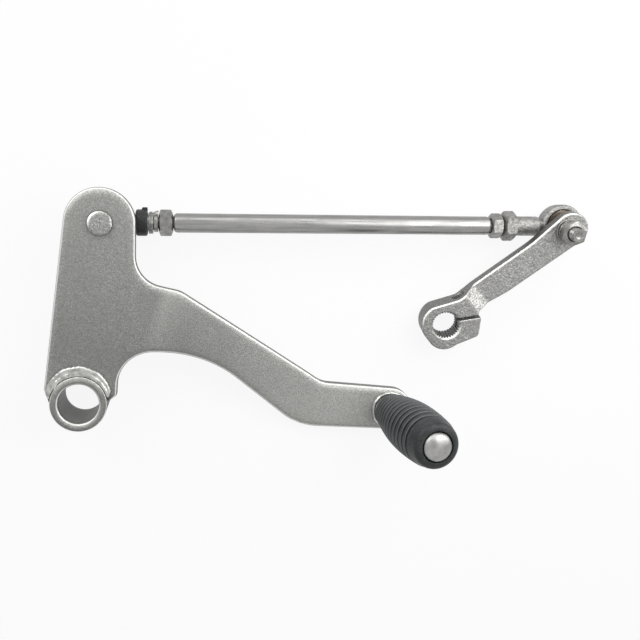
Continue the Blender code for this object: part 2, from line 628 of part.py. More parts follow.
def left_joint(steel, housing_steel, bronze, rubber, spring_steel, lever, link):
    """Stud on the lever, and seat, housing, cap, boot, sleeve and clip on the link."""
    ball = STUD_BALL_RADIUS
    neck_turn = math.asin(STUD_NECK_RADIUS / ball)
    sphere = [(ball * math.sin(t), ball * math.cos(t))
              for t in [neck_turn + (math.pi - neck_turn) * k / 12 for k in range(13)]]
    sphere[-1] = (0, -ball)
    front = STUD_REACH + PLATE_THICKNESS + CLEARANCE
    flange_top = STUD_REACH - CLEARANCE
    stud = [(0, front + RIVET_HEIGHT), (RIVET_RADIUS - 0.0009, front + RIVET_HEIGHT),
            (RIVET_RADIUS - 0.0002, front + RIVET_HEIGHT - 0.0005), (RIVET_RADIUS, front),
            (STUD_TENON_RADIUS, front), (STUD_TENON_RADIUS, flange_top),
            (STUD_FLANGE_RADIUS, flange_top), (STUD_FLANGE_RADIUS, flange_top - STUD_FLANGE),
            (STUD_NECK_RADIUS, flange_top - STUD_FLANGE)]
    finish(turned("left_ball_stud", stud + sphere), steel, lever)

    cup = ball + CLEARANCE
    edge_turn = math.acos(SEAT_HALF / cup)
    inside = [(cup * math.cos(t), cup * math.sin(t))
              for t in [-(math.pi / 2 - edge_turn) + (math.pi - 2 * edge_turn) * k / 8 for k in range(9)]]
    seat = [(SEAT_RADIUS, SEAT_HALF), (SEAT_RADIUS, -SEAT_HALF)] + inside
    finish(turned("left_ball_seat", seat, closed=True), bronze, link)

    bore = SEAT_RADIUS + CLEARANCE
    low = -LINK_HEIGHT
    shelf = HOUSING_TOP - HOUSING_LIP
    mouth = HOUSING_MOUTH_RADIUS
    eye = [(mouth, HOUSING_TOP), (HOUSING_RADIUS - 0.0010, HOUSING_TOP),
           (HOUSING_RADIUS, HOUSING_TOP - 0.0010), (HOUSING_RADIUS, low + 0.0008),
           (HOUSING_RADIUS - 0.0008, low), (bore, low), (bore, shelf), (mouth, shelf)]
    housing = baked(turned("left_joint_housing", eye, closed=True))
    groove = SHANK_GROOVE_X
    half = SHANK_GROOVE_WIDTH / 2
    tip = ROD_START_X + THREAD_ENGAGEMENT
    neck = [(0, tip), (THREAD_RADIUS - THREAD_TIP_CHAMFER, tip),
            (THREAD_RADIUS, tip - THREAD_TIP_CHAMFER), (THREAD_RADIUS, SHANK_END_X),
            (SHANK_COLLAR_RADIUS, SHANK_END_X), (SHANK_COLLAR_RADIUS, groove + half),
            (SHANK_GROOVE_RADIUS, groove + half), (SHANK_GROOVE_RADIUS, groove - half),
            (SHANK_RADIUS, groove - half), (SHANK_RADIUS, (bore + HOUSING_RADIUS) / 2),
            (0, (bore + HOUSING_RADIUS) / 2)]
    shank = as_cutter(turned("left_shank", neck), link)
    shank.rotation_euler = along_x()
    boolean(housing, shank, "UNION")
    finish(housing, housing_steel, link)

    cap_low = low + 0.0008
    cap = [(0, cap_low + CAP_THICKNESS), (SEAT_RADIUS, cap_low + CAP_THICKNESS),
           (SEAT_RADIUS, cap_low), (SEAT_RADIUS * 0.7, cap_low), (SEAT_RADIUS * 0.6, cap_low + 0.0005),
           (0, cap_low + 0.0005)]
    finish(turned("left_joint_cap", cap), steel, link)

    foot = HOUSING_TOP + CLEARANCE
    crown = foot + BOOT_HEIGHT
    boot = [(BOOT_TOP_RADIUS - BOOT_WALL, crown), (BOOT_TOP_RADIUS, crown),
            (BOOT_TOP_RADIUS + 0.0006, crown - 0.35 * BOOT_HEIGHT),
            (BOOT_FOOT_RADIUS, foot + 0.35 * BOOT_HEIGHT), (BOOT_FOOT_RADIUS, foot),
            (BOOT_FOOT_RADIUS - BOOT_WALL - 0.0010, foot)]
    finish(turned("left_dust_boot", boot, closed=True), rubber, link)

    sleeve_bore = SHANK_RADIUS + CLEARANCE
    ring = [(sleeve_bore, SLEEVE_END_X), (SLEEVE_RADIUS - 0.0006, SLEEVE_END_X),
            (SLEEVE_RADIUS, SLEEVE_END_X - 0.0006), (SLEEVE_RADIUS, SLEEVE_START_X + 0.0006),
            (SLEEVE_RADIUS - 0.0006, SLEEVE_START_X), (sleeve_bore, SLEEVE_START_X)]
    sleeve = baked(turned("left_neck_sleeve", ring, closed=True))
    sleeve.rotation_euler = along_x()
    lug_height = SLEEVE_RADIUS + SLEEVE_LUG_HEIGHT
    lug = extruded("sleeve_lug", rounded([
        (SLEEVE_END_X - SLEEVE_LUG_LENGTH, sleeve_bore + 0.0008, 0),
        (SLEEVE_END_X, sleeve_bore + 0.0008, 0), (SLEEVE_END_X, lug_height, 0.0004),
        (SLEEVE_END_X - SLEEVE_LUG_LENGTH, lug_height, 0.0006)]), -0.0012, 0.0012)
    as_cutter(lug, link)
    boolean(sleeve, lug, "UNION")
    finish(sleeve, rubber, link)

    radius = SHANK_RADIUS + CLEARANCE + CLIP_WIRE_RADIUS
    curve = bpy.data.curves.new("left_sleeve_clip", "CURVE")
    curve.dimensions = "3D"
    curve.bevel_depth = CLIP_WIRE_RADIUS
    curve.bevel_resolution = 1
    curve.use_fill_caps = True
    turns = [math.pi / 2 + CLIP_OPEN / 2 + (2 * math.pi - CLIP_OPEN) * k / 22 for k in range(23)]
    route = [Vector((CLIP_X, radius * math.sin(t), radius * math.cos(t))) for t in turns]
    last = route[-1]
    for share in (0.35, 0.7, 1.0):
        lift = 0.0009 * math.sin(share * math.pi / 2)
        route.append(last + Vector((CLIP_TAIL * share, lift, 0.0004 * share)))
    spline = curve.splines.new("POLY")
    spline.points.add(len(route) - 1)
    for point, spot in zip(spline.points, route):
        point.co = (*spot, 1)
    clip = bpy.data.objects.new("left_sleeve_clip", curve)
    COLLECTIONS["gear_shift_linkage"].objects.link(clip)
    curve.materials.append(spring_steel)
    clip.parent = link


def rod_pieces(rod_steel, nut_steel, cast_steel, link):
    """Tie rod with its two sockets, the lock nuts, and the rod end with its hexagon collar."""
    socket = THREAD_RADIUS + CLEARANCE
    depth = max(ROD_SOCKET_DEPTH, THREAD_ENGAGEMENT + 0.001)
    edge = ROD_END_ROUND
    profile = [(0, ROD_END_X - depth), (socket, ROD_END_X - depth), (socket, ROD_END_X),
               (ROD_RADIUS - edge, ROD_END_X), (ROD_RADIUS - edge * 0.3, ROD_END_X - edge * 0.3),
               (ROD_RADIUS, ROD_END_X - edge), (ROD_RADIUS, ROD_START_X + edge),
               (ROD_RADIUS - edge * 0.3, ROD_START_X + edge * 0.3), (ROD_RADIUS - edge, ROD_START_X),
               (socket, ROD_START_X), (socket, ROD_START_X + depth), (0, ROD_START_X + depth)]
    rod = turned("tie_rod", profile)
    rod.rotation_euler = along_x()
    finish(rod, rod_steel, link)

    for name, start, thickness in (("left_lock_nut", LEFT_NUT_X, LEFT_NUT_THICKNESS),
                                   ("right_lock_nut", RIGHT_NUT_X, RIGHT_NUT_THICKNESS)):
        pieces = hex_piece(name, NUT_CORNER, thickness, NUT_BORE_RADIUS, link)
        place(pieces, (start, 0, 0), along_x())
        finish(pieces[0], nut_steel, link)

    round_edge = EYE_ROUND
    eye_profile = [(EYE_BORE_RADIUS, EYE_HALF), (EYE_RADIUS - round_edge, EYE_HALF),
                   (EYE_RADIUS, EYE_HALF - round_edge), (EYE_RADIUS, round_edge - EYE_HALF),
                   (EYE_RADIUS - round_edge, -EYE_HALF), (EYE_BORE_RADIUS, -EYE_HALF)]
    eye = baked(turned("right_rod_end", eye_profile, closed=True, steps=TUBE_STEPS))
    eye.location = (LINK_LENGTH, 0, 0)
    near = LINK_LENGTH - (EYE_BORE_RADIUS + EYE_RADIUS) / 2
    tip = ROD_END_X - THREAD_ENGAGEMENT
    collar_middle = COLLAR_FAR_X + COLLAR_LENGTH / 2
    neck = [(0, near), (NECK_SHANK_RADIUS * 0.74, near), (NECK_SHANK_RADIUS, near - 0.0030),
            (NECK_SHANK_RADIUS, collar_middle), (THREAD_RADIUS, collar_middle),
            (THREAD_RADIUS, tip + THREAD_TIP_CHAMFER), (THREAD_RADIUS - THREAD_TIP_CHAMFER, tip), (0, tip)]
    shank = as_cutter(turned("right_shank", neck), link)
    shank.rotation_euler = along_x()
    collar, collar_limits = hex_piece("right_collar", COLLAR_CORNER, COLLAR_LENGTH, 0, link)
    collar_solid = as_cutter(collar, link)
    place((collar_solid, collar_limits), (COLLAR_FAR_X, 0, 0), along_x())
    boolean(eye, shank, "UNION")
    boolean(eye, collar_solid, "UNION")
    finish(eye, cast_steel, link)


def right_joint(bronze, steel, bolt_steel, link, arm):
    """Race in the eye, and ball, bolt, washers and nut on the shift arm's body."""
    cup = BALL_RADIUS + CLEARANCE
    turn = math.asin(RACE_HALF / cup)
    inside = [(cup * math.cos(t), cup * math.sin(t)) for t in [-turn + 2 * turn * k / 8 for k in range(9)]]
    outer = EYE_BORE_RADIUS - CLEARANCE
    race = turned("right_race", [(outer, RACE_HALF), (outer, -RACE_HALF)] + inside, closed=True)
    race.location = (LINK_LENGTH, 0, 0)
    finish(race, bronze, link)

    turn = math.asin(BALL_HALF / BALL_RADIUS)
    round_side = [(BALL_RADIUS * math.cos(t), BALL_RADIUS * math.sin(t))
                  for t in [turn - 2 * turn * k / 14 for k in range(15)]]
    ball = [(BALL_BORE_RADIUS, BALL_HALF)] + round_side + [(BALL_BORE_RADIUS, -BALL_HALF)]
    finish(turned("right_ball", ball, closed=True), steel, arm)

    plain_low = ARM_FRONT + CLEARANCE
    spring_low = plain_low + PLAIN_WASHER_THICKNESS + CLEARANCE
    nut_low = spring_low + SPRING_WASHER_THICKNESS + CLEARANCE
    tip = nut_low + LINK_NUT_THICKNESS + BOLT_TIP_PROUD
    head_low = -HEAD_DEPTH
    head, head_limits = hex_piece("bolt_head", NUT_CORNER, BOLT_HEAD_HEIGHT, 0, arm)
    place((as_cutter(head, arm), head_limits), (0, 0, head_low), (0, 0, 0))
    shaft = [(0, tip), (BOLT_RADIUS - 0.0007, tip), (BOLT_RADIUS, tip - 0.0007),
             (BOLT_RADIUS, head_low + BOLT_HEAD_HEIGHT / 2), (0, head_low + BOLT_HEAD_HEIGHT / 2)]
    bolt = baked(turned("link_bolt", shaft))
    boolean(bolt, head, "UNION")
    finish(bolt, bolt_steel, arm)

    hole = BOLT_RADIUS + CLEARANCE
    washer_low = BALL_HALF + CLEARANCE
    finish(turned("ball_washer", ring_profile(hole, BALL_WASHER_RADIUS, washer_low,
                                              washer_low + BALL_WASHER_THICKNESS, 0.0002),
                  closed=True), steel, arm)
    finish(turned("plain_washer", ring_profile(hole, PLAIN_WASHER_RADIUS, plain_low,
                                               plain_low + PLAIN_WASHER_THICKNESS, 0.0002),
                  closed=True), bolt_steel, arm)
    rings = []
    for k in range(31):
        angle = math.radians(100 + 340 * k / 30)
        outward = Vector((math.cos(angle), math.sin(angle), 0))
        section = ring_profile(hole, SPRING_WASHER_RADIUS, spring_low, spring_low + SPRING_WASHER_THICKNESS)
        rings.append([outward * radius + Vector((0, 0, height)) for radius, height in section])
    finish(loft("spring_washer", rings), bolt_steel, arm)
    pieces = hex_piece("link_nut", NUT_CORNER, LINK_NUT_THICKNESS, BOLT_RADIUS + CLEARANCE, arm)
    place(pieces, (0, 0, nut_low), (0, 0, math.radians(12)))
    finish(pieces[0], bolt_steel, arm)


def arm_outline():
    """Arm and clamp seen along the bolt: the bolt at the origin, the spline bore on +X."""
    end = ARM_END_RADIUS
    wide = ARM_HALF_WIDTH
    waist = ARM_WAIST_HALF
    turn = Matrix.Rotation(SLIT_TURN, 2)
    bore = Vector((ARM_LENGTH, 0))

    def beside(along, across):
        """A point given along and across the slit's direction from the spline bore."""
        return bore + turn @ Vector((along, across))

    tab_low = beside(CLAMP_TAB_LENGTH - 0.0022, -CLAMP_TAB_DEPTH)
    tab_end = beside(CLAMP_TAB_LENGTH, SLIT_OFFSET - SLIT_WIDTH)
    crook = beside(CLAMP_TAB_LENGTH - 0.0010, SLIT_OFFSET + SLIT_WIDTH)
    brow = beside(PINCH_OFFSET, CLAMP_SHOULDER)
    back = CLAMP_RADIUS
    corners = [
        (-end - 0.0012, end, end),
        (-end - 0.0012, -end, end),
        (0.0160, -wide + 0.0004, 0.0400),
        (ARM_LENGTH - RAMP_FOOT, -wide - 0.0004, 0.0120),
        (brow.x, brow.y, 0.0060),
        (ARM_LENGTH, -back, 0.0060),
        (ARM_LENGTH + back, -back, back),
        (ARM_LENGTH + back, back, back),
        (ARM_LENGTH + 0.0020, back, 0.0080),
        (tab_low.x, tab_low.y, 0.0025),
        (tab_end.x, tab_end.y, 0.0008),
        (crook.x, crook.y, 0.0006),
        (ARM_LENGTH - RAMP_FOOT, waist, 0.0100),
        (0.0380, wide + 0.0006, 0.0140),
    ]
    return rounded(corners[::-1])


def spline_outline():
    """Straight-sided teeth round the clamp's bore."""
    points = []
    pitch = 2 * math.pi / SPLINE_COUNT
    for k in range(SPLINE_COUNT):
        for share, radius in ((0.0, SPLINE_MAJOR_RADIUS), (0.34, SPLINE_MAJOR_RADIUS),
                              (0.55, SPLINE_MINOR_RADIUS), (0.79, SPLINE_MINOR_RADIUS)):
            angle = (k + share) * pitch
            points.append(Vector((radius * math.cos(angle), radius * math.sin(angle))))
    return points


def shift_arm(cast_steel, arm):
    """Forged arm: a full-height blank stepped down to the arm, then bored, slit and cross-drilled."""
    blank = extruded("shift_arm", arm_outline(), ARM_BACK, CLAMP_FRONT)
    high = CLAMP_FRONT + 0.004
    foot = ARM_LENGTH - RAMP_FOOT
    rise = CLAMP_THICKNESS - ARM_THICKNESS
    slope_end = foot + RAMP_RUN * (high - ARM_FRONT) / rise
    side = [Vector((-0.05, ARM_FRONT)), Vector((foot, ARM_FRONT)), Vector((slope_end, high)),
            Vector((-0.05, high))]
    step = as_cutter(extruded("arm_step", side, -0.03, 0.03), arm)
    step.rotation_euler = (math.radians(90), 0, 0)
    boolean(blank, step)

    hole_radius = BOLT_RADIUS + CLEARANCE
    bolt_hole = as_cutter(turned("arm_bolt_hole", [(0, high), (hole_radius, high),
                                                   (hole_radius, ARM_BACK - 0.002),
                                                   (0, ARM_BACK - 0.002)],
                                 steps=MOUTH_STEPS), arm)
    edges = blank.modifiers.new("forged_edges", "BEVEL")
    edges.width = ARM_EDGE_ROUND
    edges.segments = 2
    edges.limit_method = "ANGLE"
    edges.angle_limit = math.radians(28)
    boolean(blank, bolt_hole)

    teeth = as_cutter(extruded("spline_teeth", spline_outline(), ARM_BACK - 0.002, high), arm)
    teeth.location = (ARM_LENGTH, 0, 0)
    boolean(blank, teeth)
    wide = SPLINE_MAJOR_RADIUS + SPLINE_CHAMFER
    narrow = SPLINE_MINOR_RADIUS - 0.0006
    deep = wide - narrow
    for name, face, out in (("spline_mouth_front", CLAMP_FRONT, 1), ("spline_mouth_back", ARM_BACK, -1)):
        profile = [(0, face + out * 0.001), (wide + 0.001, face + out * 0.001),
                   (narrow, face - out * deep), (0, face - out * deep)]
        if out < 0:
            profile = profile[::-1]
        mouth = as_cutter(turned(name, profile, steps=MOUTH_STEPS), arm)
        mouth.location = (ARM_LENGTH, 0, 0)
        mouth.rotation_euler = (0, 0, MOUTH_TURN)
        boolean(blank, mouth)

    slit_middle = CLAMP_TAB_LENGTH / 2 + 0.004
    slit_reach = CLAMP_TAB_LENGTH / 2 + 0.001
    slit = [Vector((slit_middle - slit_reach, SLIT_OFFSET - SLIT_WIDTH / 2)),
            Vector((slit_middle + slit_reach, SLIT_OFFSET - SLIT_WIDTH / 2)),
            Vector((slit_middle + slit_reach, SLIT_OFFSET + SLIT_WIDTH / 2)),
            Vector((slit_middle - slit_reach, SLIT_OFFSET + SLIT_WIDTH / 2))]
    saw = as_cutter(extruded("clamp_slit", slit, ARM_BACK - 0.002, high), arm)
    saw.location = (ARM_LENGTH, 0, 0)
    saw.rotation_euler = (0, 0, SLIT_TURN)
    boolean(blank, saw)

    drill_radius = PINCH_RADIUS
    drill = as_cutter(turned("pinch_hole", [(0, 0.03), (drill_radius, 0.03), (drill_radius, -0.03),
                                            (0, -0.03)]), arm)
    cross = Matrix.Rotation(SLIT_TURN, 2) @ Vector((PINCH_OFFSET, 0))
    drill.location = (ARM_LENGTH + cross.x, cross.y, (ARM_BACK + CLAMP_FRONT) / 2)
    drill.rotation_euler = (math.radians(90), 0, SLIT_TURN)
    boolean(blank, drill)
    finish(blank, cast_steel, arm)


def build():
    """Make every piece of the linkage."""
    start_scene()
    painted = material("silver_paint", (0.42, 0.41, 0.38), 0.45, 0.6)
    weld = material("painted_weld", (0.46, 0.45, 0.42), 0.4, 0.6)
    zinc = material("bright_zinc", (0.66, 0.66, 0.64), 0.22, 1.0)
    nut_zinc = material("grey_zinc", (0.45, 0.45, 0.44), 0.35, 1.0)
    cast = material("blasted_casting", (0.52, 0.52, 0.50), 0.55, 0.8)
    bronze = material("bearing_bronze", (0.42, 0.27, 0.14), 0.4, 1.0)
    rubber = material("black_rubber", (0.03, 0.032, 0.034), 0.7, 0.0)
    lever = pivot("left_ball_centre_lever", LEFT_BALL)
    link = pivot("left_ball_centre_link", LEFT_BALL)
    arm = pivot("right_ball_centre_arm", RIGHT_BALL)
    arm.rotation_mode = "XYZ"
    arm.rotation_euler = (Matrix.Rotation(ARM_HEADING, 3, "Z")
                          @ Matrix.Rotation(ARM_DROOP, 3, "Y")).to_euler("XYZ")
    lever_plate(painted)
    pivot_tube(painted)
    weld_bead("pivot_weld_front", PLATE_FRONT + CLEARANCE, 1, weld)
    weld_bead("pivot_weld_back", PLATE_BACK - CLEARANCE, -1, weld)
    toe_pieces(zinc, weld, rubber)
    left_joint(nut_zinc, cast, bronze, rubber, zinc, lever, link)
    rod_pieces(zinc, nut_zinc, cast, link)
    right_joint(bronze, zinc, nut_zinc, link, arm)
    shift_arm(cast, arm)


build()
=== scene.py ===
"""Dressed model of a motorcycle's gear shift linkage, set up like an add-on and run as a script.

The packed model is loaded as a fixed frame. Each operator makes one piece or a group of like pieces
over it in finer mesh, with its finish, and main calls them in order.
"""

import math

import bmesh
import bpy
from bpy.props import FloatProperty, FloatVectorProperty, IntProperty, PointerProperty
from bpy.types import Operator, Panel, PropertyGroup
from mathutils import Matrix, Vector


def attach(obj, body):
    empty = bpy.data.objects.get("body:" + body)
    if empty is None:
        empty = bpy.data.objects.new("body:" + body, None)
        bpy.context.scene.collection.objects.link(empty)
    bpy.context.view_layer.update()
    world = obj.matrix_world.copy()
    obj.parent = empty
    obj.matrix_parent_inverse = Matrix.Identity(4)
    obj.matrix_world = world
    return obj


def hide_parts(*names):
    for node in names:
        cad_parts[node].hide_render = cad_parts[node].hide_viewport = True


bl_info = {
    "name": "Gear Shift Linkage",
    "version": (1, 0, 0),
    "blender": (4, 5, 0),
    "location": "3D View > Sidebar > Linkage",
    "description": "Builds the lever plate, the tie rod with its joints and the splined shift arm",
    "category": "Object",
}

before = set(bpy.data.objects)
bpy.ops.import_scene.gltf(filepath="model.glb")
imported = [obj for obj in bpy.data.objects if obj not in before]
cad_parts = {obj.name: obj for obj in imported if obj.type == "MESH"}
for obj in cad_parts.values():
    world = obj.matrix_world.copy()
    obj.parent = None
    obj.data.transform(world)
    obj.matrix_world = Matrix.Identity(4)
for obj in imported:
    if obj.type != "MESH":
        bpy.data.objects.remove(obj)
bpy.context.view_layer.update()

CLEARANCE = 0.0003          # between two pieces that touch or slide

# Lever plate: a stamped head round the ball stud, two ears on the pivot tube and a bent arm
PLATE_THICKNESS = 0.0046
PLATE_FRONT_ROUND = 0.0016
PLATE_BACK_ROUND = 0.0004
HEAD_RADIUS = 0.0150
STUD_X = 0.0103
STUD_Y = 0.0770
LEFT_EAR_OVERHANG = 0.0024  # how far the ears stand out beside the tube
RIGHT_EAR_OVERHANG = 0.0040
LEFT_EAR_RISE = 0.0062      # height of the ears' corners above the tube's axis
RIGHT_EAR_RISE = 0.0030
LEFT_EAR_RADIUS = 0.0018
RIGHT_EAR_RADIUS = 0.0015
EAR_FOOT = 0.0007           # height at which the ears end on the tube
THROAT_OVERHANG = 0.0050    # right edge of the plate above the ear, beside the tube
THROAT_TOP_Y = 0.0220       # underside of the arm where it leaves the plate
THROAT_RADIUS = 0.0150
NECK_Y = 0.0528             # crook between head and arm
NECK_RADIUS = 0.0130
SHOULDER_X = 0.0435         # where the arm's top edge turns downhill
SHOULDER_Y = 0.0481
SHOULDER_RADIUS = 0.0110
BELLY_X = 0.0524            # where the arm's lower edge turns downhill
BELLY_DROP = 0.0010
BELLY_RADIUS = 0.0600
ELBOW_TOP_X = 0.1092        # where the edges level out towards the toe peg
ELBOW_TOP_RISE = 0.0026
ELBOW_TOP_RADIUS = 0.0120
ELBOW_LOW_X = 0.0978
ELBOW_LOW_RISE = -0.0182
ELBOW_LOW_RADIUS = 0.0300
NARROWING = 0.0008          # of the head at its crook, and of the toe at its top
HEAD_LEFT_SHARE = 0.885     # of the head's radius, by which it reaches left of the stud
TOE_X = 0.1425              # toe peg's axis on the arm
TOE_Y = -0.0115
TOE_END_RADIUS = 0.0104
FIRST_BEND_X = 0.0352       # bend lines of the arm, at their middle
FIRST_BEND_Y = 0.0337
FIRST_BEND_SLANT = 0.34
SECOND_BEND_X = 0.1025
SECOND_BEND_Y = -0.0055
SECOND_BEND_SLANT = 0.11
BEND_SOFTNESS = 0.09        # share of the ramp that each bend takes

# Pivot tube and its two weld beads
TUBE_BORE_RADIUS = 0.0086
TUBE_WALL = 0.0034
TUBE_PROUD = 0.0018         # how far the tube stands out of the plate's front
TUBE_CHAMFER = 0.0007
BEAD_WIDTH = 0.0044         # over the top of the tube
BEAD_END_WIDTH = 0.0020     # at the ears
BEAD_HEIGHT = 0.0015
BEAD_TURN = math.radians(12)  # above the tube's sides, where the beads start and end

# Toe peg and its rubber, along the peg's own axis from the arm's face
PEG_RADIUS = 0.0055
PEG_TENON_RADIUS = 0.0040
PEG_TENON_SHORT = 0.0008    # how far the tenon ends before the arm's back
PEG_LEAN = math.radians(5)
PEG_FOOT_GAP = 0.0009
PEG_LENGTH = 0.0580
PEG_HEAD_RADIUS = 0.0064
PEG_HEAD_RIM = 0.0022
PEG_DOME_RISE = 0.0038
FOOT_BEAD_WIDTH = 0.0034
FOOT_BEAD_HEIGHT = 0.0016
RUBBER_START = 0.0029
RUBBER_FOOT_RADIUS = 0.0086
RUBBER_BELLY_RADIUS = 0.0119
RUBBER_BELLY_SHARE = 0.56   # share of the rubber's length at which it is thickest
RUBBER_END_RADIUS = 0.0101
RUBBER_END_ROUND = 0.0030
RUBBER_RIB_COUNT = 12
RUBBER_END_BAND = 0.0070
RUBBER_LIP = 0.0012         # how far the rubber's end stands past the rim of the peg's head

# Left ball joint, its stud riveted to the plate
STUD_BALL_RADIUS = 0.0050
STUD_NECK_RADIUS = 0.0028
STUD_REACH = 0.0079         # ball's centre to the back of the plate
STUD_FLANGE_RADIUS = 0.0042
STUD_FLANGE = 0.0005
STUD_TENON_RADIUS = 0.0030
RIVET_RADIUS = 0.0053
RIVET_HEIGHT = 0.0014
SEAT_RADIUS = 0.0070
SEAT_HALF = 0.0035
HOUSING_RADIUS = 0.0104
HOUSING_TOP = 0.0043        # above the ball's centre
HOUSING_LIP = 0.0005
HOUSING_BROW = 0.0010       # chamfers of the housing's top and of its foot
HOUSING_HEM = 0.0008
HOUSING_MOUTH_RADIUS = 0.0060
CAP_THICKNESS = 0.0015
CAP_RECESS = 0.0008
CAP_DISH = 0.0005
BOOT_FOOT_RADIUS = 0.0080
BOOT_TOP_RADIUS = 0.0048
BOOT_WALL = 0.0007
BOOT_HEIGHT = 0.0015
SHANK_RADIUS = 0.0038       # the housing's round shank towards the rod
SHANK_COLLAR_RADIUS = 0.0041
SHANK_GROOVE_RADIUS = 0.0032
SHANK_GROOVE_X = 0.0215
SHANK_GROOVE_WIDTH = 0.0007
SHANK_END_X = 0.0235
SLEEVE_START_X = 0.0140
SLEEVE_END_X = 0.0191
SLEEVE_RADIUS = 0.0058
SLEEVE_LUG_HEIGHT = 0.0009
SLEEVE_LUG_LENGTH = 0.0024
CLIP_WIRE_RADIUS = 0.0004
CLIP_X = 0.0201
CLIP_OPEN = math.radians(50)
CLIP_TAIL = 0.0024
CLIP_SPACING = 2.1 * CLIP_WIRE_RADIUS  # run along the shank for each coil after the first
CLIP_COIL_STEPS = 60

# Tie rod, lock nuts and the M6 threads that they run on
LINK_LENGTH = 0.2100        # ball centre to ball centre
ROD_RADIUS = 0.00425
ROD_END_ROUND = 0.0008
ROD_SOCKET_DEPTH = 0.0180
THREAD_RADIUS = 0.0029
THREAD_ENGAGEMENT = 0.0150
NUT_ACROSS_FLATS = 0.0100
LEFT_NUT_THICKNESS = 0.0063
RIGHT_NUT_THICKNESS = 0.0056
NUT_BORE_RADIUS = 0.0032

# Right rod end, its race and ball
EYE_RADIUS = 0.0102
EYE_HALF = 0.0035
EYE_ROUND = 0.0007
EYE_BORE_RADIUS = 0.0079
NECK_SHANK_RADIUS = 0.0045
COLLAR_ACROSS_FLATS = 0.0120
COLLAR_LENGTH = 0.0063
COLLAR_X = 0.0226           # eye's centre to the near face of the collar
RACE_HALF = 0.0033
BALL_RADIUS = 0.00635
BALL_HALF = 0.0045
BALL_BORE_RADIUS = 0.0033

# Bolt through the ball, with washers and nut
BOLT_RADIUS = 0.0030
BOLT_HEAD_HEIGHT = 0.0040
BOLT_TIP_PROUD = 0.0048
BALL_WASHER_RADIUS = 0.0048
BALL_WASHER_THICKNESS = 0.0012
PLAIN_WASHER_RADIUS = 0.0058
PLAIN_WASHER_THICKNESS = 0.0012
SPRING_WASHER_RADIUS = 0.0052
SPRING_WASHER_THICKNESS = 0.0015
SPRING_WASHER_START = 100   # degrees, at the gap's end
SPRING_WASHER_TURN = 340
SPRING_WASHER_STEPS = 90
LINK_NUT_TURN = math.radians(12)
LINK_NUT_THICKNESS = 0.0050

# Shift arm in its own frame: its length from the bolt to the spline bore
ARM_HEADING = math.radians(220)
ARM_LENGTH = 0.0696
ARM_THICKNESS = 0.0065
ARM_END_RADIUS = 0.0079
ARM_END_STRETCH = 0.0012    # how far the end reaches past its round
ARM_HALF_WIDTH = 0.0060
ARM_WAIST_HALF = 0.0052
CLAMP_THICKNESS = 0.0120
CLAMP_RADIUS = 0.0108
CLAMP_TAB_LENGTH = 0.0165
CLAMP_TAB_DEPTH = 0.0078
CLAMP_SHOULDER = 0.0112
RAMP_FOOT = 0.0215          # before the spline bore, where the clamp starts to rise
RAMP_RUN = 0.0062
SLIT_TURN = math.radians(151.4)
SLIT_WIDTH = 0.0016
SLIT_OFFSET = 0.0019
SPLINE_COUNT = 30
SPLINE_MINOR_RADIUS = 0.0058
SPLINE_MAJOR_RADIUS = 0.0063
SPLINE_CHAMFER = 0.0006
MOUTH_TURN = math.radians(1.3)  # keeps the mouths' facets off the flanks of the teeth
PINCH_RADIUS = 0.0030
PINCH_OFFSET = 0.0080       # pinch hole's axis beside the spline bore's centre
PINCH_REACH = 0.03          # of its drill to either side, past the clamp

# Worked out from the sizes above
NUT_CORNER = NUT_ACROSS_FLATS / 2 / math.cos(math.radians(30))
COLLAR_CORNER = COLLAR_ACROSS_FLATS / 2 / math.cos(math.radians(30))
HEAD_DEPTH = BALL_HALF + CLEARANCE + BOLT_HEAD_HEIGHT
ARM_BACK = BALL_HALF + CLEARANCE + BALL_WASHER_THICKNESS + CLEARANCE
ARM_FRONT = ARM_BACK + ARM_THICKNESS
CLAMP_FRONT = ARM_BACK + CLAMP_THICKNESS
# The arm droops at its ball until both the clamp and the bolt's head meet the ground
ARM_DROOP = math.atan((HEAD_DEPTH + ARM_BACK) / (ARM_LENGTH + CLAMP_RADIUS - NUT_CORNER))
LINK_HEIGHT = HEAD_DEPTH * math.cos(ARM_DROOP) + NUT_CORNER * math.sin(ARM_DROOP)
PLATE_BACK = LINK_HEIGHT + STUD_REACH
PLATE_FRONT = PLATE_BACK + PLATE_THICKNESS
TUBE_RADIUS = TUBE_BORE_RADIUS + TUBE_WALL
NOTCH_RADIUS = TUBE_RADIUS + CLEARANCE
THROAT_X = TUBE_RADIUS + THROAT_OVERHANG
FIRST_BEND_AT = FIRST_BEND_X - FIRST_BEND_SLANT * FIRST_BEND_Y
LEFT_BALL = Vector((STUD_X, STUD_Y, LINK_HEIGHT))
RIGHT_BALL = LEFT_BALL + Vector((LINK_LENGTH, 0, 0))
LEFT_NUT_X = SHANK_END_X + CLEARANCE
ROD_START_X = LEFT_NUT_X + LEFT_NUT_THICKNESS + CLEARANCE
COLLAR_FAR_X = LINK_LENGTH - COLLAR_X - COLLAR_LENGTH
RIGHT_NUT_X = COLLAR_FAR_X - CLEARANCE - RIGHT_NUT_THICKNESS
ROD_END_X = RIGHT_NUT_X - CLEARANCE
PEG_HEAD_LOW = PEG_LENGTH - PEG_DOME_RISE - PEG_HEAD_RIM
PEG_RIM_TOP = PEG_LENGTH - PEG_DOME_RISE

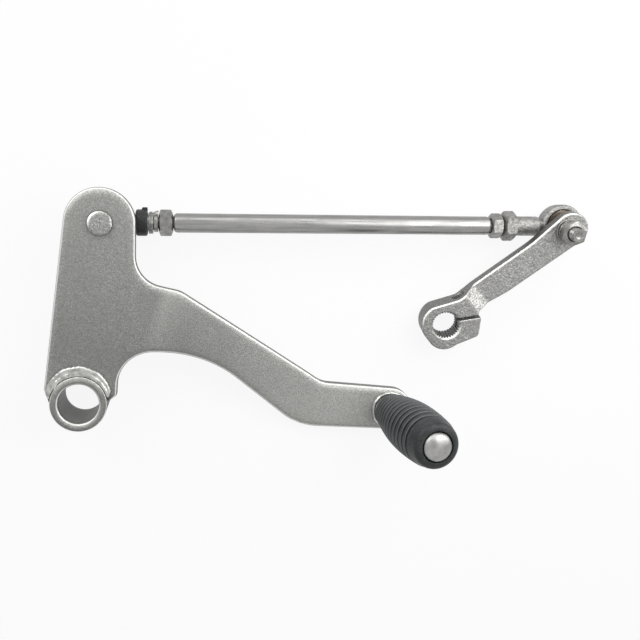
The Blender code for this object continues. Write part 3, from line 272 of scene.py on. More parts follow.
# Finer steps of the dressed pieces
ARC_STEP = math.radians(6)
ARC_CHORD = 0.0025
NOTCH_STEP = math.radians(9)
QUARTER_TURN = math.radians(90)
ROUND_STEPS = 96            # facets round a turned piece
EDGE_STEPS = 4              # facets across a rounded edge
HOLE_STEPS = 64             # facets round a hole in the arm
PINCH_STEPS = 48            # facets round the pinch hole
BALL_STEPS = 32             # facets from pole to pole of a ball
CUP_STEPS = 24              # facets across the cup round a ball
BEAD_STEPS = 300            # along the weld over the tube
FOOT_BEAD_STEPS = 180       # along the weld round the peg's foot
SOFT_STEPS = 3              # facets across a softened corner of a turned piece
THREAD_STEPS = 48           # facets round a thread
THREAD_RISE = 8             # steps along one pitch of a thread
DOME_STEPS = 16             # facets from the top of the peg's dome to its rim
LIP_STEPS = 10              # facets across the rubber's rounded end
OVERCUT = 0.002             # how far a cutter stands past the face that it cuts
THREAD_BITE = 0.0002        # how far a thread reaches into the piece that carries it
FLOOR_SINK = 0.0002         # of the stage's floor below the lowest pieces
NOTCH_FADE = 0.004          # from the notch, over which the plate's rims grow round
LEAST_FULLNESS = 0.02       # of the plate's rims, at the notch
BEND_REACH = 0.014          # how far the cuts for the bends go past the bend lines
CUT_SLANT = 0.2             # of those cuts
RAMP_SOFTNESS = 0.0007      # rounding of the clamp's ramp at its foot and top
# A weld bead across its width: shares of its width and of its height
BEAD_SECTION = ((0, 0), (1, 0), (0.98, 0.18), (0.93, 0.38), (0.86, 0.56), (0.78, 0.70),
                (0.70, 0.75), (0.62, 0.72), (0.54, 0.67), (0.46, 0.70), (0.38, 0.82),
                (0.30, 0.93), (0.2, 1.0), (0.1, 1.0), (0, 0.96))
# Dimpled end of a thread: shares of its radius, and depths below its end
THREAD_TIP = ((0.52, 0.0), (0.40, 0.00035), (0.12, 0.00045))
SHORTEST_STEP = 0.00007     # along an outline, so that its rounded rim doesn't fold
SHARP_ANGLE = math.radians(38)
PAINT_SHARP_ANGLE = math.radians(50)

# Places of the bodies
LINK_PLACE = Matrix.Translation(LEFT_BALL)
EYE_PLACE = Matrix.Translation((LINK_LENGTH, 0, 0))
ARM_PLACE = (Matrix.Translation(RIGHT_BALL) @ Matrix.Rotation(ARM_HEADING, 4, "Z")
             @ Matrix.Rotation(ARM_DROOP, 4, "Y"))
ARM_UP = tuple(ARM_PLACE.to_3x3() @ Vector((0, 0, 1)))
ARM_LEFT = tuple(ARM_PLACE.to_3x3() @ Vector((0, -0.64, 0.77)))  # to its upper edge, where a highlight is painted
BORE_PLACE = Matrix.Translation((ARM_LENGTH, 0, 0))
SLIT_HEADING = Matrix.Rotation(SLIT_TURN, 4, "Z")
PEG_PLACE = (Matrix.Translation((TOE_X, TOE_Y, PLATE_THICKNESS))
             @ Matrix.Rotation(PEG_LEAN, 4, "Y"))
ALONG_X = Matrix.Rotation(QUARTER_TURN, 4, "Y")

# The photograph's view
CAMERA_PLACE = (0.04615, 0.08767, 0.33940)
CAMERA_AIM = (0.09158, 0.04375, 0.0100)
CAMERA_ROLL = -0.0135
CAMERA_SHIFT = (0.05, -0.035)

# Lamps: name, place, width, height and the setting of their power
LAMP_AIM = Vector((0.10, 0.03, 0.01))
LAMPS = (
    ("rim_light", (0.14, 0.50, 0.32), 0.9, 0.25, "rim_power"),
    ("near_light", (0.24, 0.14, 0.22), 0.16, 0.16, "near_power"),
    ("side_light", (0.62, 0.26, 0.20), 0.4, 0.30, "side_power"),
    ("left_light", (-0.26, 0.36, 0.20), 0.3, 0.25, "left_power"),
)


def rounded(corners):
    """Points round a closed outline of (x, y, radius) corners, with each corner as an arc."""
    count = len(corners)
    points = [Vector((x, y)) for x, y, _ in corners]
    sides = []
    for i, point in enumerate(points):
        before = (points[i - 1] - point).normalized()
        after = (points[(i + 1) % count] - point).normalized()
        sides.append((before, after, before.angle(after) / 2))
    tangents = [radius / math.tan(half) for (_, _, radius), (_, _, half) in zip(corners, sides)]
    shares = [1.0] * count
    for i in range(count):
        following = (i + 1) % count
        length = (points[following] - points[i]).length
        share = min(1.0, 0.999 * length / max(tangents[i] + tangents[following], 1e-9))
        shares[i] = min(shares[i], share)
        shares[following] = min(shares[following], share)
    outline = []
    for i, (before, after, half) in enumerate(sides):
        reach = tangents[i] * shares[i]
        radius = reach * math.tan(half)
        if radius < 1e-6:
            outline.append(points[i])
            continue
        centre = points[i] + (before + after).normalized() * (radius / math.sin(half))
        start = points[i] + before * reach - centre
        turn = math.pi - 2 * half
        if before.y * after.x - before.x * after.y < 0:
            turn = -turn
        steps = max(1, math.ceil(abs(turn) / ARC_STEP), math.ceil(abs(turn) * radius / ARC_CHORD))
        for k in range(steps + 1):
            angle = turn * k / steps
            spun = Vector((start.x * math.cos(angle) - start.y * math.sin(angle),
                           start.x * math.sin(angle) + start.y * math.cos(angle)))
            outline.append(centre + spun)
    return outline


def sweep(radius, start, turn, steps):
    """Points of an arc round the origin, from an angle through a turn, as (cosine, sine) sides."""
    angles = [start + turn * k / steps for k in range(steps + 1)]
    return [(radius * math.cos(angle), radius * math.sin(angle)) for angle in angles]


def ring_profile(inner, outer, low, high, edge):
    """Closed profile of a ring with a small chamfer on its outer edges."""
    return [(inner, high), (outer - edge, high), (outer, high - edge), (outer, low + edge),
            (outer - edge, low), (inner, low)]


def hexagon(corner_radius):
    """Corners of a hexagon with two of them on the local Y axis."""
    return [Vector((corner_radius * math.cos(math.radians(30 + 60 * k)),
                    corner_radius * math.sin(math.radians(30 + 60 * k)))) for k in range(6)]


def plate_outline():
    """The stamped outline, anticlockwise from the left end of the notch over the tube."""
    foot = math.asin(EAR_FOOT / NOTCH_RADIUS)
    turn = foot - (math.pi - foot)
    notch = [Vector(spot) for spot in sweep(NOTCH_RADIUS, math.pi - foot, turn,
                                            math.ceil(abs(turn) / NOTCH_STEP))]
    corners = [
        (notch[-1].x, notch[-1].y, 0),
        (TUBE_RADIUS + RIGHT_EAR_OVERHANG, RIGHT_EAR_RISE, RIGHT_EAR_RADIUS),
        (THROAT_X, THROAT_TOP_Y, THROAT_RADIUS),
        (BELLY_X, THROAT_TOP_Y - BELLY_DROP, BELLY_RADIUS),
        (ELBOW_LOW_X, ELBOW_LOW_RISE, ELBOW_LOW_RADIUS),
        (TOE_X + TOE_END_RADIUS, TOE_Y - TOE_END_RADIUS, TOE_END_RADIUS),
        (TOE_X + TOE_END_RADIUS, TOE_Y + TOE_END_RADIUS - NARROWING, TOE_END_RADIUS),
        (ELBOW_TOP_X, ELBOW_TOP_RISE, ELBOW_TOP_RADIUS),
        (SHOULDER_X, SHOULDER_Y, SHOULDER_RADIUS),
        (STUD_X + HEAD_RADIUS - NARROWING, NECK_Y, NECK_RADIUS),
        (STUD_X + HEAD_RADIUS, STUD_Y + HEAD_RADIUS, HEAD_RADIUS),
        (STUD_X - HEAD_LEFT_SHARE * HEAD_RADIUS, STUD_Y + HEAD_RADIUS, HEAD_RADIUS),
        (-TUBE_RADIUS - LEFT_EAR_OVERHANG, LEFT_EAR_RISE, LEFT_EAR_RADIUS),
        (notch[0].x, notch[0].y, 0),
    ]
    return rounded(corners)[:-1] + notch[:-1]


def bend_share(x, y):
    """How far down the arm's ramp a point lies: 0 on the plate, 1 at the toe peg."""
    first = FIRST_BEND_X + FIRST_BEND_SLANT * (y - FIRST_BEND_Y)
    second = SECOND_BEND_X + SECOND_BEND_SLANT * (y - SECOND_BEND_Y)
    share = (x - first) / (second - first)
    soft = BEND_SOFTNESS

    def knee(value):
        """A ramp that starts softly at 0."""
        if value <= -soft:
            return 0.0
        if value >= soft:
            return value
        return (value + soft) ** 2 / (4 * soft)

    return knee(share) - knee(share - 1)


def arm_outline():
    """Arm and clamp seen along the bolt: the bolt at the origin, the spline bore on +X."""
    end = ARM_END_RADIUS
    tip = -end - ARM_END_STRETCH
    wide = ARM_HALF_WIDTH
    waist = ARM_WAIST_HALF
    turn = Matrix.Rotation(SLIT_TURN, 2)
    bore = Vector((ARM_LENGTH, 0))

    def beside(along, across):
        """A point given along and across the slit's direction from the spline bore."""
        return bore + turn @ Vector((along, across))

    tab_low = beside(CLAMP_TAB_LENGTH - 0.0022, -CLAMP_TAB_DEPTH)
    tab_end = beside(CLAMP_TAB_LENGTH, SLIT_OFFSET - SLIT_WIDTH)
    crook = beside(CLAMP_TAB_LENGTH - 0.0010, SLIT_OFFSET + SLIT_WIDTH)
    brow = beside(PINCH_OFFSET, CLAMP_SHOULDER)
    back = CLAMP_RADIUS
    corners = [
        (tip, end, end),
        (tip, -end, end),
        (0.0160, -wide + 0.0004, 0.0400),
        (ARM_LENGTH - RAMP_FOOT, -wide - 0.0004, 0.0120),
        (brow.x, brow.y, 0.0060),
        (ARM_LENGTH, -back, 0.0060),
        (ARM_LENGTH + back, -back, back),
        (ARM_LENGTH + back, back, back),
        (ARM_LENGTH + 0.0020, back, 0.0080),
        (tab_low.x, tab_low.y, 0.0025),
        (tab_end.x, tab_end.y, 0.0010),
        (crook.x, crook.y, 0.0010),
        (ARM_LENGTH - RAMP_FOOT, waist, 0.0100),
        (0.0380, wide + 0.0006, 0.0140),
    ]
    return rounded(corners[::-1])


def spline_outline(count):
    """Straight-sided teeth round the clamp's bore."""
    points = []
    pitch = 2 * math.pi / count
    for k in range(count):
        for share, radius in ((0.0, SPLINE_MAJOR_RADIUS), (0.34, SPLINE_MAJOR_RADIUS),
                              (0.55, SPLINE_MINOR_RADIUS), (0.79, SPLINE_MINOR_RADIUS)):
            angle = (k + share) * pitch
            points.append(Vector((radius * math.cos(angle), radius * math.sin(angle))))
    return points


def as_object(name, shape):
    """Turn a bmesh into an object in the scene."""
    bmesh.ops.recalc_face_normals(shape, faces=shape.faces)
    mesh = bpy.data.meshes.new(name)
    shape.to_mesh(mesh)
    shape.free()
    thing = bpy.data.objects.new(name, mesh)
    bpy.context.scene.collection.objects.link(thing)
    return thing


def bridged(shape, rows):
    """Join rows of vertices by faces, round and round."""
    count = len(rows[0])
    for row, following in zip(rows, rows[1:]):
        for k in range(count):
            other = (k + 1) % count
            shape.faces.new((row[k], row[other], following[other], following[k]))


def turned(name, profile, closed=False, steps=ROUND_STEPS):
    """A turned piece round local Z from (radius, height) spots. A closed profile makes a ring."""
    shape = bmesh.new()
    rings = [[shape.verts.new((*spot, height))
              for spot in sweep(radius, 0, 2 * math.pi, steps)[:steps if radius > 1e-7 else 1]]
             for radius, height in profile]
    if closed:
        rings.append(rings[0])
    for upper, lower in zip(rings, rings[1:]):
        for k in range(steps):
            following = (k + 1) % steps
            around = [upper[k % len(upper)], upper[following % len(upper)],
                      lower[following % len(lower)], lower[k % len(lower)]]
            corners = list(dict.fromkeys(around))
            if len(corners) > 2:
                shape.faces.new(corners)
    return as_object(name, shape)


def softened(profile, size, closed=False):
    """The profile with its corners rounded by arcs of up to a given size."""
    count = len(profile)
    points = [Vector(spot) for spot in profile]
    smooth = []
    for i, point in enumerate(points):
        inner = 0 < i < count - 1 or closed
        if not inner or (point.x < 1e-7):
            smooth.append(point)
            continue
        before = points[i - 1] - point
        after = points[(i + 1) % count] - point
        reach = min(size, before.length * 0.45, after.length * 0.45)
        start = point + before.normalized() * reach
        end = point + after.normalized() * reach
        for k in range(SOFT_STEPS + 1):
            share = k / SOFT_STEPS
            smooth.append(start * (1 - share) ** 2 + point * 2 * share * (1 - share)
                          + end * share ** 2)
    return [(spot.x, spot.y) for spot in smooth]


def ringed(name, profile, soft):
    """A turned ring whose profile has softened corners."""
    return turned(name, softened(profile, soft, closed=True), closed=True)


def cutter(name, radius, low, high, steps=ROUND_STEPS):
    """A plain cylinder that cuts a hole."""
    return turned(name, [(0, high), (radius, high), (radius, low), (0, low)], steps=steps)


def extruded(name, outline, low, high):
    """A flat closed outline as a solid between two heights."""
    shape = bmesh.new()
    under = [shape.verts.new((spot[0], spot[1], low)) for spot in outline]
    over = [shape.verts.new((spot[0], spot[1], high)) for spot in outline]
    bridged(shape, [under, over])
    shape.faces.new(under[::-1])
    shape.faces.new(over)
    return as_object(name, shape)


def pressed(name, outline, low, high, low_edge, high_edge, fullness=None):
    """A slab over an anticlockwise outline, its rims rounded to the fullness at each point."""
    outline = [point for i, point in enumerate(outline)
               if (point - outline[i - 1]).length > SHORTEST_STEP]
    count = len(outline)
    fullness = [fullness(point) if fullness else 1.0 for point in outline]
    inward = []
    for i in range(count):
        before = (outline[i] - outline[i - 1]).normalized()
        after = (outline[(i + 1) % count] - outline[i]).normalized()
        left = Vector((-before.y, before.x))
        right = Vector((-after.y, after.x))
        inward.append((left + right) / (1 + left.dot(right)))
    turns = sweep(1, 0, QUARTER_TURN, EDGE_STEPS)
    levels = [(low, low_edge * (1 - sine), low_edge * (1 - cosine)) for cosine, sine in turns]
    levels += [(high, high_edge * (1 - cosine), high_edge * (sine - 1)) for cosine, sine in turns]
    shape = bmesh.new()
    rings = [[shape.verts.new((*(outline[i] + inward[i] * inset * fullness[i]),
                               face + rise * fullness[i])) for i in range(count)]
             for face, inset, rise in levels]
    bridged(shape, rings)
    shape.faces.new(rings[-1])
    shape.faces.new(rings[0][::-1])
    return as_object(name, shape)


def lofted(name, rings, closed=False):
    """A solid through rings of points, joined end to end or capped."""
    shape = bmesh.new()
    rows = [[shape.verts.new(point) for point in ring] for ring in rings]
    bridged(shape, rows + rows[:1] if closed else rows)
    if not closed:
        shape.faces.new(rows[0])
        shape.faces.new(rows[-1])
    return as_object(name, shape)


def threaded(name, radius, low, high, pitch, depth):
    """A threaded shank round local Z, with a true helix, chamfered ends and a dimpled tip."""
    count = max(4, round((high - low) / (pitch / THREAD_RISE)))
    rings = []
    for k in range(count + 1):
        height = low + (high - low) * k / count
        fade = min(1.0, (height - low) / pitch, (high - height) / pitch)
        ring = []
        for j in range(THREAD_STEPS):
            angle = 2 * math.pi * j / THREAD_STEPS
            phase = (height / pitch - j / THREAD_STEPS) % 1.0
            groove = 1 - abs(2 * phase - 1)
            reach = radius - depth * (1 - fade) - depth * fade * groove
            ring.append(Vector((reach * math.cos(angle), reach * math.sin(angle), height)))
        rings.append(ring)
    for share, sink in THREAD_TIP:
        rings.append([Vector((*spot, high - sink))
                      for spot in sweep(radius * share, 0, 2 * math.pi, THREAD_STEPS)[:-1]])
    return lofted(name, rings)


def bead_ring(angle, inner, base, width, height):
    """The section of a weld bead that runs round the origin, at an angle."""
    outward = Vector((math.cos(angle), math.sin(angle), 0))
    return [outward * (inner + across * width) + Vector((0, 0, base + up * height))
            for across, up in BEAD_SECTION]


def moved(thing, place):
    """Set a mesh in its place and leave its object at the origin."""
    thing.data.transform(place)
    return thing


def applied(thing):
    """Make a piece's modifiers part of its mesh."""
    bpy.context.view_layer.update()
    mesh = bpy.data.meshes.new_from_object(
        thing.evaluated_get(bpy.context.evaluated_depsgraph_get()))
    thing.modifiers.clear()
    worn = thing.data
    thing.data = mesh
    bpy.data.meshes.remove(worn)
    return thing


def combined(thing, operation, *tools):
    """Cut, join or limit a piece with tools, and remove them."""
    for tool in tools:
        step = thing.modifiers.new(operation.lower(), "BOOLEAN")
        step.operation = operation
        step.solver = "EXACT"
        step.object = tool
        applied(thing)
        bpy.data.objects.remove(tool, do_unlink=True)
    if not thing.data.polygons:
        raise RuntimeError(thing.name + " was cut away")
    thing.data.validate()
    return thing


def edge_rounded(thing, size):
    """Round the sharp edges of a small piece."""
    step = thing.modifiers.new("edges", "BEVEL")
    step.width = size
    step.segments = 2
    step.limit_method = "ANGLE"
    step.angle_limit = math.radians(30)
    step.harden_normals = False
    return applied(thing)


def sliced(shape, station, slant=0.0):
    """Cut a mesh across at a place along X, without parting it."""
    everything = shape.verts[:] + shape.edges[:] + shape.faces[:]
    bmesh.ops.bisect_plane(shape, geom=everything, dist=1e-7, plane_co=(station, 0, 0),
                           plane_no=(1, slant, 0))


def handed_back(shape, thing):
    """Split a mesh's large faces and give it back to its piece."""
    bmesh.ops.triangulate(shape, faces=[face for face in shape.faces if len(face.verts) > 4])
    shape.to_mesh(thing.data)
    shape.free()


def dressed(thing, material, body, angle=SHARP_ANGLE):
    """Shade a piece, give it its finish and body, and let it stand for the node in its name."""
    mesh = thing.data
    mesh.name = thing.name
    mesh.materials.clear()
    mesh.materials.append(material)
    mesh.shade_smooth()
    mesh.set_sharp_from_angle(angle=angle)
    even = thing.modifiers.new("even_shading", "WEIGHTED_NORMAL")
    even.keep_sharp = True
    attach(thing, body)
    # A thread belongs to another piece's node, so its name has no such ending
    nodes = [thing.name.removesuffix("_visual")] if thing.name.endswith("_visual") else []
    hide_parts(*nodes)
    return thing


def two_toned(thing, material, picked):
    """Give a second finish to the faces whose centres are picked."""
    thing.data.materials.append(material)
    for face in thing.data.polygons:
        face.material_index = 1 if picked(face.center) else 0


def hex_piece(name, corner_radius, thickness, bore_radius):
    """A hexagon from local z=0 up, with turned corners and a chamfered bore."""
    face_radius = max(corner_radius * 0.66, bore_radius + 0.0004)
    drop = (corner_radius - face_radius) * math.tan(math.radians(25))
    entry = min(0.0004, thickness / 5)
    profile = [(face_radius, thickness), (corner_radius * 1.01, thickness - drop),
               (corner_radius * 1.01, drop), (face_radius, 0)]
    if bore_radius > 0:
        profile = [(bore_radius + entry, thickness), *profile, (bore_radius + entry, 0),
                   (bore_radius, entry), (bore_radius, thickness - entry)]
    else:
        profile = [(0, thickness)] + profile + [(0, 0)]
    limits = turned(name + "_turning", profile, closed=bore_radius > 0)
    body = extruded(name, hexagon(corner_radius), -0.001, thickness + 0.001)
    combined(body, "INTERSECT", limits)
    return edge_rounded(body, 0.00012)


class LeverDetail(PropertyGroup):
    """Sizes of the lever plate and its welds that a user may change."""

    rim_round: FloatProperty(
        name="Front rim", description="Rounding of the stamped plate's front edge",
        default=min(PLATE_FRONT_ROUND, 0.00145), min=0.0002, max=0.00145, unit="LENGTH",
        precision=5)
    back_round: FloatProperty(
        name="Back rim", description="Rounding of the stamped plate's back edge",
        default=PLATE_BACK_ROUND, min=0.0001, max=0.001, unit="LENGTH", precision=4)
    bend_cuts: IntProperty(
        name="Bend cuts", description="Cuts across the arm that let it bend softly",
        default=64, min=16, max=120)
    bead_ripple: FloatProperty(
        name="Bead ripple", description="Share by which the weld beads swell and shrink",
        default=0.03, min=0.0, max=0.3, subtype="FACTOR")
    bead_pitch: FloatProperty(
        name="Bead pitch", description="Length of one ripple of the weld beads",
        default=0.0016, min=0.0008, max=0.004, unit="LENGTH", precision=4)


class RubberDetail(PropertyGroup):
    """Sizes of the toe rubber that a user may change."""

    rib_count: IntProperty(
        name="Ribs", description="Ribs round the toe rubber",
        default=RUBBER_RIB_COUNT, min=4, max=20)
    groove_depth: FloatProperty(
        name="Groove depth", description="Depth of the grooves between the ribs",
        default=0.0012, min=0.0002, max=0.0015, unit="LENGTH", precision=4)
    groove_share: FloatProperty(
        name="Groove share", description="Share of each rib's pitch that is groove",
        default=0.42, min=0.2, max=0.7, subtype="FACTOR")


class FastenerDetail(PropertyGroup):
    """Sizes of the threaded pieces that a user may change."""

    thread_pitch: FloatProperty(
        name="Thread pitch", description="Pitch of the threads on bolt and shanks",
        default=0.0010, min=0.0005, max=0.0015, unit="LENGTH", precision=4)
    thread_depth: FloatProperty(
        name="Thread depth", description="Depth of the threads",
        default=0.00045, min=0.0001, max=0.0006, unit="LENGTH", precision=5)
    clip_coils: IntProperty(
        name="Clip coils", description="Turns of the sleeve's wire clip", default=3, min=1, max=3)
    rod_chamfer: FloatProperty(
        name="Rod chamfer", description="Turned chamfer at the tie rod's ends",
        default=0.0013, min=0.0002, max=0.0016, unit="LENGTH", precision=4)


class ArmDetail(PropertyGroup):
    """Sizes of the shift arm that a user may change."""

    edge_round: FloatProperty(
        name="Forged edge", description="Rounding of the arm's forged edges",
        default=0.0009, min=0.0002, max=0.0009, unit="LENGTH", precision=4)
    spline_count: IntProperty(
        name="Splines", description="Teeth round the clamp's bore",
        default=SPLINE_COUNT, min=12, max=48)


class FinishLooks(PropertyGroup):
    """Colours and grain of the finishes."""

    paint: FloatVectorProperty(
        name="Silver paint", description="Colour of the lever's silver paint", subtype="COLOR",
        size=3, min=0.0, max=1.0, default=(0.300, 0.300, 0.288))
    casting: FloatVectorProperty(
        name="Blasted casting", description="Colour of the blasted shift arm", subtype="COLOR",
        size=3, min=0.0, max=1.0, default=(0.310, 0.308, 0.298))
    zinc: FloatVectorProperty(
        name="Bright zinc", description="Colour of the tie rod and the peg's head", subtype="COLOR",
        size=3, min=0.0, max=1.0, default=(0.300, 0.298, 0.290))
    nut: FloatVectorProperty(
        name="Grey zinc", description="Colour of the nuts, washers and shanks", subtype="COLOR",
        size=3, min=0.0, max=1.0, default=(0.250, 0.247, 0.238))
    bronze: FloatVectorProperty(
        name="Bearing bronze", description="Colour of the seat and the race", subtype="COLOR",
        size=3, min=0.0, max=1.0, default=(0.190, 0.150, 0.112))
    rubber: FloatVectorProperty(
        name="Black rubber", description="Colour of the rubber pieces", subtype="COLOR",
        size=3, min=0.0, max=1.0, default=(0.025, 0.026, 0.027))
    grain: FloatProperty(
        name="Paint grain", description="Size of the silver paint's grains",
        default=0.00055, min=0.0002, max=0.003, unit="LENGTH", precision=5)


class StageLooks(PropertyGroup):
    """Camera, floor and light."""

    lens: FloatProperty(
        name="Lens", description="Focal length on a 36 mm sensor", default=41.6, min=15.0,
        max=120.0, unit="CAMERA")
    floor_colour: FloatVectorProperty(
        name="Floor", description="Colour of the pale floor", subtype="COLOR",
        size=3, min=0.0, max=1.0, default=(0.90, 0.90, 0.90))
    rim_power: FloatProperty(
        name="Rim light", description="Power of the low wide light behind the tie rod",
        default=1.0, min=0.0, max=50.0, unit="POWER")
    near_power: FloatProperty(
        name="Near light", description="Power of the near light over the shift arm",
        default=0.28, min=0.0, max=50.0, unit="POWER")
    side_power: FloatProperty(
        name="Side light", description="Power of the light at the right",
        default=1.0, min=0.0, max=50.0, unit="POWER")
    left_power: FloatProperty(
        name="Left light", description="Power of the light at the upper left",
        default=0.75, min=0.0, max=50.0, unit="POWER")
    sky_level: FloatProperty(
        name="Sky", description="Level of the light from all round", default=0.45, min=0.0,
        max=3.0, subtype="FACTOR")


GROUPS = (
    ("linkage_lever", LeverDetail), ("linkage_rubber", RubberDetail),
    ("linkage_fasteners", FastenerDetail), ("linkage_arm", ArmDetail),
    ("linkage_finishes", FinishLooks), ("linkage_stage", StageLooks),
)


class Bench:
    """Places and joins the nodes of one material or of the world."""

    def __init__(self, tree):
        self.tree = tree

    def node(self, kind, sockets, **settings):
        """Add a node, set its options, and set or link its sockets."""
        made = self.tree.nodes.new(kind)
        for name, value in settings.items():
            setattr(made, name, value)
        for name, value in sockets.items():
            if isinstance(value, bpy.types.NodeSocket):
                self.tree.links.new(value, made.inputs[name])
            else:
                made.inputs[name].default_value = value
        return made

    def spots(self, stretch=(1, 1, 1)):
        """Object coordinates in metres, stretched along the axes."""
        place = self.node("ShaderNodeTexCoord", {}).outputs["Object"]
        return self.node("ShaderNodeMapping", {"Vector": place, "Scale": stretch}).outputs["Vector"]

    def noise(self, size, detail=2.0, stretch=(1, 1, 1), roughness=0.5):
        """Noise with features of a size in metres."""
        return self.node("ShaderNodeTexNoise", {
            "Vector": self.spots(stretch), "Scale": 1 / size, "Detail": detail,
            "Roughness": roughness}).outputs["Fac"]

    def spread(self, value, low, high, to_low=0.0, to_high=1.0):
        """Map a range to another and hold it there."""
        return self.node("ShaderNodeMapRange", {
            "Value": value, "From Min": low, "From Max": high, "To Min": to_low,
            "To Max": to_high}).outputs["Result"]

    def maths(self, operation, one, other):
        """A math node."""
        return self.node("ShaderNodeMath", {0: one, 1: other}, operation=operation).outputs["Value"]

    def product(self, one, other):
        """Two values multiplied."""
        return self.maths("MULTIPLY", one, other)

    def mixed(self, share, one, other, blend="MIX"):
        """Mix two colours by a share."""
        one, other = ((*tone, 1.0) if isinstance(tone, tuple) else tone for tone in (one, other))
        return self.node("ShaderNodeMix", {0: share, 6: one, 7: other}, data_type="RGBA",
                         blend_type=blend).outputs[2]

    def grained(self, noise, low, high, colour, dark, light):
        """A colour that a noise makes darker and lighter."""
        return self.mixed(self.spread(noise, low, high), scaled(colour, dark),
                          scaled(colour, light))

    def dabbed(self, tone, noise, low, high, share, colour):
        """A tone with dabs of a colour where a noise is high."""
        return self.mixed(self.spread(noise, low, high, 0.0, share), tone, colour)

    def along(self, normal, way):
        """How far a normal points along a way."""
        return self.node("ShaderNodeVectorMath", {0: normal, 1: way},
                         operation="DOT_PRODUCT").outputs["Value"]

    def lean(self, up):
        """How squarely the surface faces along an axis, 1 on its ends and 0 on its walls."""
        face = self.node("ShaderNodeTexCoord", {}).outputs["Normal"]
        return self.maths("ABSOLUTE", self.along(face, up), 0.0)

    def edges(self, up, flattest):
        """Masks of the rounded edges, up to a lean, and of the walls beside an axis, for a painted
        highlight on the edges and painted shade on the walls.
        """
        lean = self.lean(up)
        edge = self.product(self.spread(lean, 0.48, 0.68),
                            self.spread(lean, flattest - 0.13, flattest, 1.0, 0.0))
        return edge, self.spread(lean, 0.34, 0.62, 1.0, 0.0)

    def background(self, share):
        """A share of the rays that see the white ground: of the eye, off metal, through glass."""
        path = self.node("ShaderNodeLightPath", {}).outputs
        seen = self.maths("MAXIMUM", path["Is Camera Ray"], path["Is Glossy Ray"])
        seen = self.maths("MAXIMUM", seen, path["Is Transmission Ray"])
        return self.product(seen, share)

    def pillow(self, radius):
        """Normals that lean over the edges within a radius, as on a pressed or forged piece."""
        return self.node("ShaderNodeBevel", {"Radius": radius}, samples=8).outputs["Normal"]

    def bump(self, height, depth, under=None):
        """A bump of a depth in metres, over another bump."""
        sockets = {"Height": height, "Distance": depth, "Strength": 1.0}
        if under is not None:
            sockets["Normal"] = under
        return self.node("ShaderNodeBump", sockets).outputs["Normal"]


class Finish(Bench):
    """The bench of one material, round its Principled shader."""

    def __init__(self, name, metallic):
        self.material = bpy.data.materials.new(name)
        self.material.use_nodes = True
        super().__init__(self.material.node_tree)
        self.shader = self.tree.nodes["Principled BSDF"]
        self.shader.inputs["Metallic"].default_value = metallic

    def plugged(self, colour, roughness, normal):
        """The material, with its colour, roughness and bump linked."""
        for name, value in (("Base Color", colour), ("Roughness", roughness), ("Normal", normal)):
            self.tree.links.new(value, self.shader.inputs[name])
        return self.material


def scaled(colour, factor):
    """A colour made darker or lighter."""
    return tuple(min(1.0, channel * factor) for channel in colour)


def silver_paint(looks):
    """Aluminium paint with a sandy grain, on the lever."""
    bench = Finish("silver_paint", 0.35)
    paint = looks.paint
    grain = bench.noise(looks.grain, detail=3.0, roughness=0.6)
    fleck = bench.noise(looks.grain * 0.55, detail=1.0)
    cloud = bench.noise(0.018, detail=3.0)
    tone = bench.grained(grain, 0.34, 0.66, paint, 0.68, 1.30)
    tone = bench.dabbed(tone, fleck, 0.62, 0.72, 0.6, scaled(paint, 2.3))
    tone = bench.dabbed(tone, cloud, 0.35, 0.65, 0.35, scaled(paint, 0.82))
    # Painted light: brighter towards the head and the toe peg
    place = bench.node("ShaderNodeSeparateXYZ", {"Vector": bench.spots()}).outputs
    painted_light_gradient = bench.maths("ADD", bench.spread(place["X"], 0.042, 0.125),
                         bench.spread(place["Y"], 0.020, 0.085, 0.0, 0.50))
    painted_light_gradient = bench.mixed(bench.spread(painted_light_gradient, 0.0, 1.0), (0.73, 0.73, 0.73), (1.30, 1.30, 1.30))
    tone = bench.mixed(1.0, tone, painted_light_gradient, blend="MULTIPLY")
    # Painted highlight on the rims that lean up and away, towards the rim light
    pillow = bench.pillow(0.0045)
    rim = bench.product(bench.spread(bench.along(pillow, (-0.25, 0.90, 0.36)), 0.38, 0.60),
                        bench.spread(grain, 0.40, 0.60, 0.25, 0.70))
    tone = bench.mixed(rim, tone, scaled(paint, 2.1))
    # Painted highlight along the crest of the first bend
    across = bench.product(place["Y"], -FIRST_BEND_SLANT)
    past = bench.maths("SUBTRACT", bench.maths("ADD", place["X"], across), FIRST_BEND_AT - 0.001)
    bend_highlight = bench.product(bench.spread(past, -0.0050, -0.0002, 0.0, 0.42),
                          bench.spread(past, 0.0010, 0.0150, 1.0, 0.0))
    bend_highlight = bench.product(bend_highlight, bench.spread(place["Y"], 0.022, 0.045, 0.12, 1.0))
    bend_highlight = bench.product(bend_highlight, bench.spread(grain, 0.40, 0.60, 0.5, 1.0))
    tone = bench.mixed(bend_highlight, tone, scaled(paint, 2.0))
    # Painted highlight on the rounded edges and painted shade on the walls
    edge, painted_wall_shade = bench.edges((0, 0, 1), 0.945)
    tone = bench.mixed(bench.product(edge, 0.85), tone, scaled(paint, 3.0))
    tone = bench.mixed(bench.product(painted_wall_shade, 0.85), tone, scaled(paint, 0.25))
    roughness = bench.maths("SUBTRACT", bench.spread(fleck, 0.3, 0.7, 0.52, 0.36),
                            bench.product(edge, 0.10))
    return bench.plugged(tone, roughness, bench.bump(grain, 0.00013, pillow))


